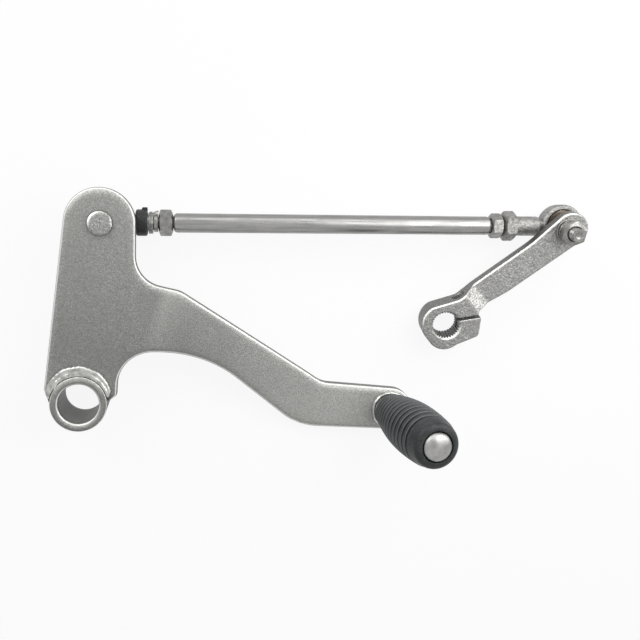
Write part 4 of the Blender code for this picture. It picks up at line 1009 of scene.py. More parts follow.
def painted_weld(looks):
    """The same paint over a smooth weld bead, with a few burnt specks."""
    bench = Finish("painted_weld", 0.7)
    lumps = bench.noise(0.0034, detail=1.5)
    grain = bench.noise(looks.grain, detail=3.0)
    speck = bench.noise(0.0013, detail=1.0)
    tone = bench.grained(lumps, 0.35, 0.65, looks.paint, 1.05, 1.9)
    tone = bench.dabbed(tone, speck, 0.70, 0.76, 0.7, scaled(looks.paint, 0.25))
    normal = bench.bump(grain, 0.00003, bench.bump(lumps, 0.00045))
    return bench.plugged(tone, bench.spread(lumps, 0.3, 0.7, 0.28, 0.16), normal)


def blasted_casting(looks):
    """Sparkling blasted casting of the shift arm, coarser than the paint."""
    bench = Finish("blasted_casting", 0.7)
    casting = looks.casting
    pits = bench.noise(0.0011, detail=4.0, roughness=0.65)
    fleck = bench.noise(0.0006, detail=1.0)
    cloud = bench.noise(0.011, detail=2.0)
    tone = bench.grained(pits, 0.34, 0.66, casting, 0.62, 1.20)
    tone = bench.dabbed(tone, fleck, 0.60, 0.70, 0.7, scaled(casting, 2.2))
    tone = bench.dabbed(tone, cloud, 0.35, 0.7, 0.3, scaled(casting, 0.75))
    # Painted highlight on the clamp's ramp, broken up by the pits
    lean = bench.lean(ARM_UP)
    ramp = bench.product(bench.spread(lean, 0.66, 0.72), bench.spread(lean, 0.78, 0.88, 1.0, 0.0))
    ramp = bench.product(ramp, bench.spread(pits, 0.42, 0.58, 0.15, 0.80))
    tone = bench.mixed(ramp, tone, scaled(casting, 2.0))
    # Painted highlight on the rounded edges and painted shade on the walls
    edge, painted_wall_shade = bench.edges(ARM_UP, 0.73)
    tone = bench.mixed(bench.product(edge, 0.5), tone, scaled(casting, 2.0))
    # Painted highlight on the arm's upper edge, where it leans towards the upper left
    upper_edge_highlight = bench.along(bench.pillow(0.0012), ARM_LEFT)
    tone = bench.dabbed(tone, upper_edge_highlight, 0.82, 0.93, 0.95, scaled(casting, 2.9))
    tone = bench.mixed(bench.product(painted_wall_shade, 0.7), tone, scaled(casting, 0.28))
    roughness = bench.maths("SUBTRACT", bench.spread(pits, 0.3, 0.7, 0.50, 0.30),
                            bench.product(edge, 0.12))
    return bench.plugged(tone, roughness, bench.bump(pits, 0.00045))


def bright_zinc(looks):
    """Drawn, zinc-plated bar with fine streaks along it."""
    bench = Finish("bright_zinc", 1.0)
    streak = bench.noise(0.0009, detail=3.0, stretch=(0.05, 1, 1))
    stain = bench.noise(0.009, detail=3.0)
    speck = bench.noise(0.0010, detail=2.0)
    tone = bench.grained(streak, 0.35, 0.65, looks.zinc, 0.86, 1.12)
    tone = bench.dabbed(tone, stain, 0.50, 0.72, 0.45, scaled(looks.zinc, 0.72))
    tone = bench.dabbed(tone, speck, 0.68, 0.76, 0.6, scaled(looks.zinc, 0.45))
    return bench.plugged(tone, bench.spread(stain, 0.35, 0.7, 0.24, 0.40),
                         bench.bump(streak, 0.00002))


def grey_zinc(looks):
    """Dull zinc of the nuts, washers and shanks, with dark specks."""
    bench = Finish("grey_zinc", 0.9)
    stain = bench.noise(0.0022, detail=3.0)
    speck = bench.noise(0.0006, detail=2.0)
    tone = bench.grained(stain, 0.35, 0.65, looks.nut, 0.80, 1.22)
    tone = bench.dabbed(tone, speck, 0.62, 0.72, 0.6, scaled(looks.nut, 0.3))
    return bench.plugged(tone, bench.spread(stain, 0.3, 0.7, 0.34, 0.20),
                         bench.bump(speck, 0.00005))


def rough_cast(looks):
    """Rough cast of the joint housing and the rod end's collar."""
    bench = Finish("rough_cast", 0.8)
    pits = bench.noise(0.0013, detail=4.0, roughness=0.65)
    fleck = bench.noise(0.0006, detail=1.0)
    tone = bench.grained(pits, 0.34, 0.66, looks.nut, 0.68, 1.35)
    tone = bench.dabbed(tone, fleck, 0.60, 0.72, 0.6, scaled(looks.nut, 2.3))
    return bench.plugged(tone, bench.spread(pits, 0.3, 0.7, 0.55, 0.35), bench.bump(pits, 0.00028))


def sintered_bronze(looks):
    """Sintered bronze with dark pores."""
    bench = Finish("sintered_bronze", 0.9)
    pores = bench.noise(0.0006, detail=2.0)
    stain = bench.noise(0.0035, detail=2.0)
    tone = bench.grained(stain, 0.35, 0.65, looks.bronze, 0.6, 1.25)
    tone = bench.dabbed(tone, pores, 0.60, 0.70, 0.7, scaled(looks.bronze, 0.3))
    return bench.plugged(tone, bench.spread(pores, 0.3, 0.7, 0.35, 0.5), bench.bump(pores, 0.00005))


def moulded_rubber(looks):
    """Moulded rubber with dust on its ribs, painted highlights along their edges and painted shade
    in its grooves.
    """
    bench = Finish("moulded_rubber", 0.0)
    bench.shader.inputs["Specular IOR Level"].default_value = 0.25
    grain = bench.noise(0.0006, detail=2.0)
    dust = bench.noise(0.0045, detail=4.0, roughness=0.65)
    groove = bench.node("ShaderNodeAttribute", {}, attribute_name="groove").outputs["Fac"]
    dusty = bench.node("ShaderNodeAttribute", {}, attribute_name="dusty").outputs["Fac"]
    rim = bench.product(bench.spread(groove, 0.0, 0.08), bench.spread(groove, 0.16, 0.32, 1.0, 0.0))
    tone = bench.grained(grain, 0.35, 0.65, looks.rubber, 0.7, 1.5)
    dust = bench.product(bench.spread(dust, 0.46, 0.70, 0.05, 0.6), dusty)
    tone = bench.mixed(dust, tone, scaled(looks.rubber, 4.4))
    # Painted highlight along the edges of the ribs
    tone = bench.mixed(bench.product(rim, 0.7), tone, scaled(looks.rubber, 6.5))
    # Painted shade in the grooves
    tone = bench.mixed(bench.spread(groove, 0.30, 0.60), tone, scaled(looks.rubber, 0.12))
    return bench.plugged(tone, bench.spread(dust, 0.0, 0.5, 0.40, 0.60), bench.bump(grain, 0.00006))


def satin_zinc(looks):
    """Satin zinc of the toe peg's head."""
    bench = Finish("satin_zinc", 1.0)
    cloud = bench.noise(0.0040, detail=3.0)
    speck = bench.noise(0.0006, detail=2.0)
    tone = bench.grained(cloud, 0.35, 0.65, looks.zinc, 1.00, 1.35)
    tone = bench.dabbed(tone, speck, 0.62, 0.72, 0.5, scaled(looks.zinc, 0.6))
    return bench.plugged(tone, bench.spread(cloud, 0.35, 0.7, 0.34, 0.46),
                         bench.bump(speck, 0.00003))


FINISH_MAKERS = {maker.__name__: maker for maker in (
    silver_paint, painted_weld, blasted_casting, bright_zinc, grey_zinc, rough_cast,
    sintered_bronze, moulded_rubber, satin_zinc)}


def finish_of(scene, name):
    """The finish of a name, made once."""
    found = bpy.data.materials.get(name)
    return found or FINISH_MAKERS[name](scene.linkage_finishes)


def shank_thread(scene, name, radius, low, high, place, body):
    """A threaded shank in its place. It belongs to a piece that is dressed on its own."""
    detail = scene.linkage_fasteners
    thing = threaded(name, radius, low, high, detail.thread_pitch, detail.thread_depth)
    dressed(moved(thing, place), finish_of(scene, "grey_zinc"), body)


class PieceMaker:
    """What the operators that make pieces have in common."""

    bl_options = {"REGISTER", "UNDO"}

    def execute(self, context):
        """Make the pieces in the scene."""
        self.make(context.scene)
        return {"FINISHED"}


class LINKAGE_OT_lever_plate(PieceMaker, Operator):
    """Stamp the lever plate, roll its rims and bend its arm down to the toe peg"""

    bl_idname = "linkage.lever_plate"
    bl_label = "Lever Plate"

    def make(self, scene):
        detail = scene.linkage_lever
        thing = pressed("lever_plate_visual", plate_outline(), PLATE_BACK, PLATE_FRONT,
                        detail.back_round, detail.rim_round,
                        lambda point: min(1.0, max(LEAST_FULLNESS, (point.length - NOTCH_RADIUS)
                                                   / NOTCH_FADE)))
        shape = bmesh.new()
        shape.from_mesh(thing.data)
        start = FIRST_BEND_X - BEND_REACH
        end = SECOND_BEND_X + BEND_REACH
        for k in range(detail.bend_cuts):
            sliced(shape, start + (end - start) * k / (detail.bend_cuts - 1), CUT_SLANT)
        for vert in shape.verts:
            vert.co.z -= PLATE_BACK * bend_share(vert.co.x, vert.co.y)
        handed_back(shape, thing)
        stud_hole = cutter("stud_hole", STUD_TENON_RADIUS + CLEARANCE, PLATE_BACK - OVERCUT,
                           PLATE_FRONT + OVERCUT)
        moved(stud_hole, Matrix.Translation((STUD_X, STUD_Y, 0)))
        room = PEG_TENON_RADIUS + CLEARANCE + PLATE_THICKNESS * math.sin(PEG_LEAN)
        peg_hole = cutter("peg_hole", room, -PLATE_THICKNESS, 2 * PLATE_THICKNESS)
        moved(peg_hole, Matrix.Translation((TOE_X, TOE_Y, 0)))
        combined(thing, "DIFFERENCE", stud_hole, peg_hole)
        dressed(thing, finish_of(scene, "silver_paint"), "lever",
                PAINT_SHARP_ANGLE)


class LINKAGE_OT_pivot_tube(PieceMaker, Operator):
    """Turn the pivot tube that the lever swings on"""

    bl_idname = "linkage.pivot_tube"
    bl_label = "Pivot Tube"

    def make(self, scene):
        top = PLATE_FRONT + TUBE_PROUD
        edge = TUBE_CHAMFER
        profile = [(TUBE_BORE_RADIUS + edge, top), (TUBE_RADIUS - edge / 2, top),
                   (TUBE_RADIUS, top - edge / 2), (TUBE_RADIUS, edge / 2),
                   (TUBE_RADIUS - edge / 2, 0), (TUBE_BORE_RADIUS + edge, 0),
                   (TUBE_BORE_RADIUS, edge), (TUBE_BORE_RADIUS, top - edge)]
        tube = ringed("pivot_tube_visual", profile, 0.0003)
        dressed(tube, finish_of(scene, "silver_paint"), "lever")


class LINKAGE_OT_weld_beads(PieceMaker, Operator):
    """Lay the weld beads round the pivot tube and the toe peg's foot"""

    bl_idname = "linkage.weld_beads"
    bl_label = "Weld Beads"

    def make(self, scene):
        detail = scene.linkage_lever
        weld = finish_of(scene, "painted_weld")
        inner = TUBE_RADIUS + CLEARANCE
        for name, base, direction in (("pivot_weld_front", PLATE_FRONT + CLEARANCE, 1),
                                      ("pivot_weld_back", PLATE_BACK - CLEARANCE, -1)):
            rings = []
            for k in range(BEAD_STEPS + 1):
                share = k / BEAD_STEPS
                angle = BEAD_TURN + (math.pi - 2 * BEAD_TURN) * share
                run = angle * inner / detail.bead_pitch
                ripple = 1 - detail.bead_ripple * (0.5 + 0.5 * math.sin(2 * math.pi * run))
                wander = 0.03 * math.sin(1.7 * run + direction) + 0.04 * math.sin(0.45 * run)
                taper = math.sqrt(min(1.0, 0.15 + 14 * min(share, 1 - share)))
                full = BEAD_END_WIDTH + (BEAD_WIDTH - BEAD_END_WIDTH) * math.sin(math.pi * share)
                swell = min(1.03, ripple + wander)
                rings.append(bead_ring(angle, inner, base, full * swell * taper,
                                       direction * BEAD_HEIGHT * swell * taper))
            dressed(lofted(name + "_visual", rings), weld, "lever")

        foot = PLATE_THICKNESS + CLEARANCE
        hollow = PEG_RADIUS + CLEARANCE + (PEG_FOOT_GAP + FOOT_BEAD_HEIGHT) * math.sin(PEG_LEAN)
        rings = []
        for k in range(FOOT_BEAD_STEPS):
            angle = 2 * math.pi * k / FOOT_BEAD_STEPS
            ripple = 1 - detail.bead_ripple * (1 - abs(math.sin(15 * angle)))
            ripple = min(1.0, ripple + 0.05 * math.sin(3 * angle + 1))
            rings.append(bead_ring(angle, hollow, foot, FOOT_BEAD_WIDTH * ripple,
                                   FOOT_BEAD_HEIGHT * ripple))
        fillet = lofted("toe_peg_weld_visual", rings, closed=True)
        moved(fillet, Matrix.Translation((TOE_X, TOE_Y, 0)))
        dressed(fillet, weld, "lever")


class LINKAGE_OT_toe_peg(PieceMaker, Operator):
    """Turn the leaning toe peg with its domed head"""

    bl_idname = "linkage.toe_peg"
    bl_label = "Toe Peg"

    def make(self, scene):
        tenon_end = PEG_TENON_SHORT - PLATE_THICKNESS
        profile = [(PEG_HEAD_RADIUS * sine, PEG_RIM_TOP + PEG_DOME_RISE * cosine)
                   for cosine, sine in sweep(1, 0, QUARTER_TURN, DOME_STEPS)]
        profile += [(PEG_HEAD_RADIUS, PEG_HEAD_LOW), (PEG_RADIUS, PEG_HEAD_LOW),
                    (PEG_RADIUS, PEG_FOOT_GAP), (PEG_TENON_RADIUS, PEG_FOOT_GAP),
                    (PEG_TENON_RADIUS, tenon_end), (0, tenon_end)]
        peg = moved(turned("toe_peg_visual", profile), PEG_PLACE)
        dressed(peg, finish_of(scene, "satin_zinc"), "lever")


class LINKAGE_OT_toe_rubber(PieceMaker, Operator):
    """Mould the ribbed rubber over the toe peg"""

    bl_idname = "linkage.toe_rubber"
    bl_label = "Toe Rubber"

    def make(self, scene):
        detail = scene.linkage_rubber
        top = PEG_RIM_TOP + RUBBER_LIP
        ribs_top = top - RUBBER_END_BAND
        bore = PEG_RADIUS + CLEARANCE
        pocket = PEG_HEAD_RADIUS + CLEARANCE
        pocket_low = PEG_HEAD_LOW - CLEARANCE

        def barrel(height):
            """Outer radius of the rubber at a height."""
            share = (height - RUBBER_START) / (top - RUBBER_START)
            if share < RUBBER_BELLY_SHARE:
                swell = math.sin(share / RUBBER_BELLY_SHARE * math.pi / 2)
                return RUBBER_FOOT_RADIUS + (RUBBER_BELLY_RADIUS - RUBBER_FOOT_RADIUS) * swell
            fade = (share - RUBBER_BELLY_SHARE) / (1 - RUBBER_BELLY_SHARE)
            return RUBBER_BELLY_RADIUS - (RUBBER_BELLY_RADIUS - RUBBER_END_RADIUS) * fade ** 2

        profile = [(pocket, top - 0.0002), (pocket + 0.0002, top)]
        profile += [(RUBBER_END_RADIUS - RUBBER_END_ROUND * (1 - sine),
                     top - RUBBER_END_ROUND * (1 - cosine))
                    for cosine, sine in sweep(1, 0, QUARTER_TURN, LIP_STEPS)]
        pitch = (ribs_top - RUBBER_START) / detail.rib_count
        wide = detail.groove_share
        # One groove: shares of the pitch below a rib's top, and of the depth
        slopes = [(0.0, 0.0), (0.04, 0.25), (0.09, 0.75), (0.14, 1.0), (wide - 0.06, 1.0),
                  (wide, 0.8), (wide + 0.06, 0.3), (wide + 0.12, 0.06), (wide + 0.2, 0.0),
                  (0.85, 0.0)]
        for k in range(detail.rib_count):
            for down, depth in slopes:
                height = ribs_top - k * pitch - down * pitch
                profile.append((barrel(height) - depth * detail.groove_depth, height))
        profile += [(RUBBER_FOOT_RADIUS - 0.0004, RUBBER_START), (bore, RUBBER_START),
                    (bore, pocket_low), (pocket, pocket_low)]
        rubber = turned("toe_rubber_visual", profile, closed=True)
        groove = rubber.data.attributes.new("groove", "FLOAT", "POINT").data
        dusty = rubber.data.attributes.new("dusty", "FLOAT", "POINT").data
        for i, vert in enumerate(rubber.data.vertices):
            ribbed = vert.co.z < ribs_top + CLEARANCE
            depth = barrel(vert.co.z) - vert.co.xy.length if ribbed else 0.0
            groove[i].value = min(1.0, max(0.0, depth / detail.groove_depth))
            dusty[i].value = 1.0 if ribbed else 0.4
        moved(rubber, PEG_PLACE)
        dressed(rubber, finish_of(scene, "moulded_rubber"), "lever",
                PAINT_SHARP_ANGLE)


class LINKAGE_OT_ball_stud(PieceMaker, Operator):
    """Turn the left ball stud and rivet its head over the plate"""

    bl_idname = "linkage.ball_stud"
    bl_label = "Ball Stud"

    def make(self, scene):
        ball = STUD_BALL_RADIUS
        neck_turn = math.asin(STUD_NECK_RADIUS / ball)
        sphere = [(sine, cosine) for cosine, sine
                  in sweep(ball, neck_turn, math.pi - neck_turn, BALL_STEPS)]
        sphere[-1] = (0, -ball)
        front = STUD_REACH + PLATE_THICKNESS + CLEARANCE
        crown = front + RIVET_HEIGHT
        flange_top = STUD_REACH - CLEARANCE
        stud = [(0, crown), (RIVET_RADIUS * 0.6, crown), (RIVET_RADIUS - 0.0012, crown - 0.00005),
                (RIVET_RADIUS - 0.0006, crown - 0.0002), (RIVET_RADIUS - 0.0002, crown - 0.0005),
                (RIVET_RADIUS, front),
                (STUD_TENON_RADIUS, front), (STUD_TENON_RADIUS, flange_top),
                (STUD_FLANGE_RADIUS, flange_top), (STUD_FLANGE_RADIUS, flange_top - STUD_FLANGE),
                (STUD_NECK_RADIUS, flange_top - STUD_FLANGE)]
        thing = moved(turned("left_ball_stud_visual", stud + sphere), LINK_PLACE)
        dressed(thing, finish_of(scene, "bright_zinc"), "lever")
        two_toned(thing, finish_of(scene, "blasted_casting"), lambda spot: spot.z > PLATE_FRONT)


class LINKAGE_OT_left_joint(PieceMaker, Operator):
    """Make the left ball joint's seat, housing, cap, dust boot, sleeve and clip"""

    bl_idname = "linkage.left_joint"
    bl_label = "Left Ball Joint"

    def make(self, scene):
        rubber = finish_of(scene, "moulded_rubber")
        cup = STUD_BALL_RADIUS + CLEARANCE
        edge_turn = math.acos(SEAT_HALF / cup)
        seat = [(SEAT_RADIUS, SEAT_HALF), (SEAT_RADIUS, -SEAT_HALF),
                *sweep(cup, edge_turn - math.pi / 2, math.pi - 2 * edge_turn, CUP_STEPS)]
        thing = moved(turned("left_ball_seat_visual", seat, closed=True), LINK_PLACE)
        dressed(thing, finish_of(scene, "sintered_bronze"), "left_seat")

        bore = SEAT_RADIUS + CLEARANCE
        low = -LINK_HEIGHT
        shelf = HOUSING_TOP - HOUSING_LIP
        mouth = HOUSING_MOUTH_RADIUS
        brow = HOUSING_BROW
        hem = HOUSING_HEM
        eye = [(mouth, HOUSING_TOP), (HOUSING_RADIUS - brow, HOUSING_TOP),
               (HOUSING_RADIUS, HOUSING_TOP - brow), (HOUSING_RADIUS, low + hem),
               (HOUSING_RADIUS - hem, low), (bore, low), (bore, shelf), (mouth, shelf)]
        housing = ringed("left_joint_housing_visual", eye, 0.0005)
        groove = SHANK_GROOVE_X
        half = SHANK_GROOVE_WIDTH / 2
        inside_wall = (bore + HOUSING_RADIUS) / 2
        neck = [(0, SHANK_END_X), (SHANK_COLLAR_RADIUS, SHANK_END_X),
                (SHANK_COLLAR_RADIUS, groove + half), (SHANK_GROOVE_RADIUS, groove + half),
                (SHANK_GROOVE_RADIUS, groove - half), (SHANK_RADIUS, groove - half),
                (SHANK_RADIUS, inside_wall), (0, inside_wall)]
        shank = moved(turned("left_shank", softened(neck, 0.00015)), ALONG_X)
        combined(housing, "UNION", shank)
        dressed(moved(housing, LINK_PLACE), finish_of(scene, "rough_cast"), "link")
        two_toned(housing, finish_of(scene, "grey_zinc"),
                  lambda spot: spot.x > STUD_X + HOUSING_RADIUS + 0.0002)
        shank_thread(scene, "left_shank_thread", THREAD_RADIUS, SHANK_END_X - THREAD_BITE,
                     ROD_START_X + THREAD_ENGAGEMENT, LINK_PLACE @ ALONG_X, "link")

        cap_low = low + CAP_RECESS
        cap_top = cap_low + CAP_THICKNESS
        dish = cap_low + CAP_DISH
        cap = [(0, cap_top), (SEAT_RADIUS, cap_top), (SEAT_RADIUS, cap_low),
               (SEAT_RADIUS * 0.7, cap_low), (SEAT_RADIUS * 0.6, dish), (0, dish)]
        thing = moved(turned("left_joint_cap_visual", softened(cap, 0.0002)), LINK_PLACE)
        dressed(thing, finish_of(scene, "bright_zinc"), "link")

        foot = HOUSING_TOP + CLEARANCE
        crown = foot + BOOT_HEIGHT
        bulge = 0.35 * BOOT_HEIGHT
        boot = [(BOOT_TOP_RADIUS - BOOT_WALL, crown), (BOOT_TOP_RADIUS, crown),
                (BOOT_TOP_RADIUS + 0.0006, crown - bulge), (BOOT_FOOT_RADIUS, foot + bulge),
                (BOOT_FOOT_RADIUS, foot),
                (BOOT_FOOT_RADIUS - BOOT_WALL - 0.0010, foot)]
        thing = moved(ringed("left_dust_boot_visual", boot, 0.0003), LINK_PLACE)
        dressed(thing, rubber, "link", PAINT_SHARP_ANGLE)

        sleeve_bore = SHANK_RADIUS + CLEARANCE
        ring = ring_profile(sleeve_bore, SLEEVE_RADIUS, SLEEVE_START_X, SLEEVE_END_X, 0.0006)
        sleeve = moved(ringed("left_neck_sleeve_visual", ring, 0.0004), ALONG_X)
        lug_start = SLEEVE_END_X - SLEEVE_LUG_LENGTH
        lug_low = sleeve_bore + 0.0008
        lug_high = SLEEVE_RADIUS + SLEEVE_LUG_HEIGHT
        lug = extruded("sleeve_lug", rounded([
            (lug_start, lug_low, 0), (SLEEVE_END_X, lug_low, 0), (SLEEVE_END_X, lug_high, 0.0004),
            (lug_start, lug_high, 0.0006)]), -0.0012, 0.0012)
        combined(sleeve, "UNION", edge_rounded(lug, 0.0002))
        dressed(moved(sleeve, LINK_PLACE), rubber, "link", PAINT_SHARP_ANGLE)
        self.clip(scene)

    def clip(self, scene):
        """The coiled wire clip round the shank, with its hooked tail."""
        coils = scene.linkage_fasteners.clip_coils
        radius = SHANK_RADIUS + CLEARANCE + CLIP_WIRE_RADIUS
        count = CLIP_COIL_STEPS * coils
        route = []
        for k in range(count + 1):
            turn = math.pi / 2 + CLIP_OPEN / 2 + (2 * math.pi * coils - CLIP_OPEN) * k / count
            along = CLIP_X - CLIP_WIRE_RADIUS + (coils - 1) * CLIP_SPACING * k / count
            route.append(Vector((along, radius * math.sin(turn), radius * math.cos(turn))))
        last = route[-1]
        for k in range(1, 9):
            share = k / 8
            lift = 0.0009 * math.sin(share * math.pi / 2)
            route.append(last + Vector((CLIP_TAIL * share, lift, 0.0004 * share)))
        curve = bpy.data.curves.new("left_sleeve_clip_visual", "CURVE")
        curve.dimensions = "3D"
        curve.bevel_depth = CLIP_WIRE_RADIUS
        curve.bevel_resolution = 3
        curve.use_fill_caps = True
        spline = curve.splines.new("POLY")
        spline.points.add(len(route) - 1)
        for point, spot in zip(spline.points, route):
            point.co = (*(LINK_PLACE @ spot), 1)
        clip = bpy.data.objects.new("left_sleeve_clip_visual", curve)
        scene.collection.objects.link(clip)
        curve.materials.append(finish_of(scene, "grey_zinc"))
        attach(clip, "link")
        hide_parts("left_sleeve_clip")


class LINKAGE_OT_tie_rod(PieceMaker, Operator):
    """Turn the tie rod with its sockets"""

    bl_idname = "linkage.tie_rod"
    bl_label = "Tie Rod"

    def make(self, scene):
        socket = THREAD_RADIUS + CLEARANCE
        depth = max(ROD_SOCKET_DEPTH, THREAD_ENGAGEMENT + 0.001)
        edge = max(ROD_END_ROUND, scene.linkage_fasteners.rod_chamfer)
        knee = edge * 0.3
        profile = [(0, ROD_END_X - depth), (socket, ROD_END_X - depth), (socket, ROD_END_X),
                   (ROD_RADIUS - edge, ROD_END_X), (ROD_RADIUS - knee, ROD_END_X - knee),
                   (ROD_RADIUS, ROD_END_X - edge), (ROD_RADIUS, ROD_START_X + edge),
                   (ROD_RADIUS - knee, ROD_START_X + knee),
                   (ROD_RADIUS - edge, ROD_START_X), (socket, ROD_START_X),
                   (socket, ROD_START_X + depth), (0, ROD_START_X + depth)]
        rod = moved(turned("tie_rod_visual", profile), LINK_PLACE @ ALONG_X)
        dressed(rod, finish_of(scene, "bright_zinc"), "link")


class LINKAGE_OT_lock_nuts(PieceMaker, Operator):
    """Cut the two hexagon lock nuts beside the tie rod"""

    bl_idname = "linkage.lock_nuts"
    bl_label = "Lock Nuts"

    def make(self, scene):
        for name, start, thickness in (("left_lock_nut", LEFT_NUT_X, LEFT_NUT_THICKNESS),
                                       ("right_lock_nut", RIGHT_NUT_X, RIGHT_NUT_THICKNESS)):
            nut = hex_piece(name + "_visual", NUT_CORNER, thickness, NUT_BORE_RADIUS)
            moved(nut, LINK_PLACE @ Matrix.Translation((start, 0, 0)) @ ALONG_X)
            dressed(nut, finish_of(scene, "grey_zinc"), "link")


class LINKAGE_OT_rod_end(PieceMaker, Operator):
    """Make the right rod end with its hexagon collar, and its bronze race"""

    bl_idname = "linkage.rod_end"
    bl_label = "Rod End"

    def make(self, scene):
        ring = ring_profile(EYE_BORE_RADIUS, EYE_RADIUS, -EYE_HALF, EYE_HALF, EYE_ROUND)
        eye = moved(ringed("right_rod_end_visual", ring, 0.0005), EYE_PLACE)
        near = LINK_LENGTH - (EYE_BORE_RADIUS + EYE_RADIUS) / 2
        middle = COLLAR_FAR_X + COLLAR_LENGTH / 2
        neck = [(0, near), (NECK_SHANK_RADIUS * 0.74, near), (NECK_SHANK_RADIUS, near - 0.0030),
                (NECK_SHANK_RADIUS, middle), (0, middle)]
        shank = moved(turned("right_shank", softened(neck, 0.0004)), ALONG_X)
        collar = hex_piece("right_collar", COLLAR_CORNER, COLLAR_LENGTH, 0)
        moved(collar, Matrix.Translation((COLLAR_FAR_X, 0, 0)) @ ALONG_X)
        combined(eye, "UNION", shank, collar)
        moved(eye, LINK_PLACE)
        dressed(eye, finish_of(scene, "rough_cast"), "link")
        shank_thread(scene, "right_shank_thread", THREAD_RADIUS, ROD_END_X - THREAD_ENGAGEMENT,
                     COLLAR_FAR_X + THREAD_BITE, LINK_PLACE @ ALONG_X, "link")

        cup = BALL_RADIUS + CLEARANCE
        turn = math.asin(RACE_HALF / cup)
        outer = EYE_BORE_RADIUS - CLEARANCE
        profile = [(outer, RACE_HALF), (outer, -RACE_HALF), *sweep(cup, -turn, 2 * turn, CUP_STEPS)]
        race = turned("right_race_visual", profile, closed=True)
        moved(race, LINK_PLACE @ EYE_PLACE)
        dressed(race, finish_of(scene, "sintered_bronze"), "race")


class LINKAGE_OT_joint_bolt(PieceMaker, Operator):
    """Make the right ball with its bolt, washers and nut"""

    bl_idname = "linkage.joint_bolt"
    bl_label = "Joint Bolt"

    def make(self, scene):
        zinc = finish_of(scene, "bright_zinc")
        grey = finish_of(scene, "grey_zinc")
        turn = math.asin(BALL_HALF / BALL_RADIUS)
        ball = [(BALL_BORE_RADIUS, BALL_HALF), *sweep(BALL_RADIUS, turn, -2 * turn, BALL_STEPS),
                (BALL_BORE_RADIUS, -BALL_HALF)]
        thing = moved(turned("right_ball_visual", ball, closed=True), ARM_PLACE)
        dressed(thing, zinc, "arm")

        plain_low = ARM_FRONT + CLEARANCE
        spring_low = plain_low + PLAIN_WASHER_THICKNESS + CLEARANCE
        nut_low = spring_low + SPRING_WASHER_THICKNESS + CLEARANCE
        tip = nut_low + LINK_NUT_THICKNESS + BOLT_TIP_PROUD
        bolt = hex_piece("link_bolt_visual", NUT_CORNER, BOLT_HEAD_HEIGHT, 0)
        moved(bolt, ARM_PLACE @ Matrix.Translation((0, 0, -HEAD_DEPTH)))
        dressed(bolt, grey, "arm")
        shank_thread(scene, "link_bolt_thread", BOLT_RADIUS, BOLT_HEAD_HEIGHT - HEAD_DEPTH, tip,
                     ARM_PLACE, "arm")

        hole = BOLT_RADIUS + CLEARANCE
        for name, radius, start, thickness, material in (
                ("ball_washer", BALL_WASHER_RADIUS, BALL_HALF + CLEARANCE, BALL_WASHER_THICKNESS,
                 zinc),
                ("plain_washer", PLAIN_WASHER_RADIUS, plain_low, PLAIN_WASHER_THICKNESS, grey)):
            ring = ring_profile(hole, radius, start, start + thickness, 0.0002)
            washer = moved(ringed(name + "_visual", ring, 0.0001), ARM_PLACE)
            dressed(washer, material, "arm")

        section = ring_profile(hole, SPRING_WASHER_RADIUS, spring_low,
                               spring_low + SPRING_WASHER_THICKNESS, 0.00015)
        rings = []
        for k in range(SPRING_WASHER_STEPS + 1):
            angle = math.radians(SPRING_WASHER_START + SPRING_WASHER_TURN * k / SPRING_WASHER_STEPS)
            outward = Vector((math.cos(angle), math.sin(angle), 0))
            rings.append([outward * radius + Vector((0, 0, height)) for radius, height in section])
        dressed(moved(lofted("spring_washer_visual", rings), ARM_PLACE), grey, "arm")
        nut = hex_piece("link_nut_visual", NUT_CORNER, LINK_NUT_THICKNESS,
                        BOLT_RADIUS + CLEARANCE / 2)
        moved(nut, ARM_PLACE @ Matrix.Translation((0, 0, nut_low))
              @ Matrix.Rotation(LINK_NUT_TURN, 4, "Z"))
        dressed(nut, grey, "arm")


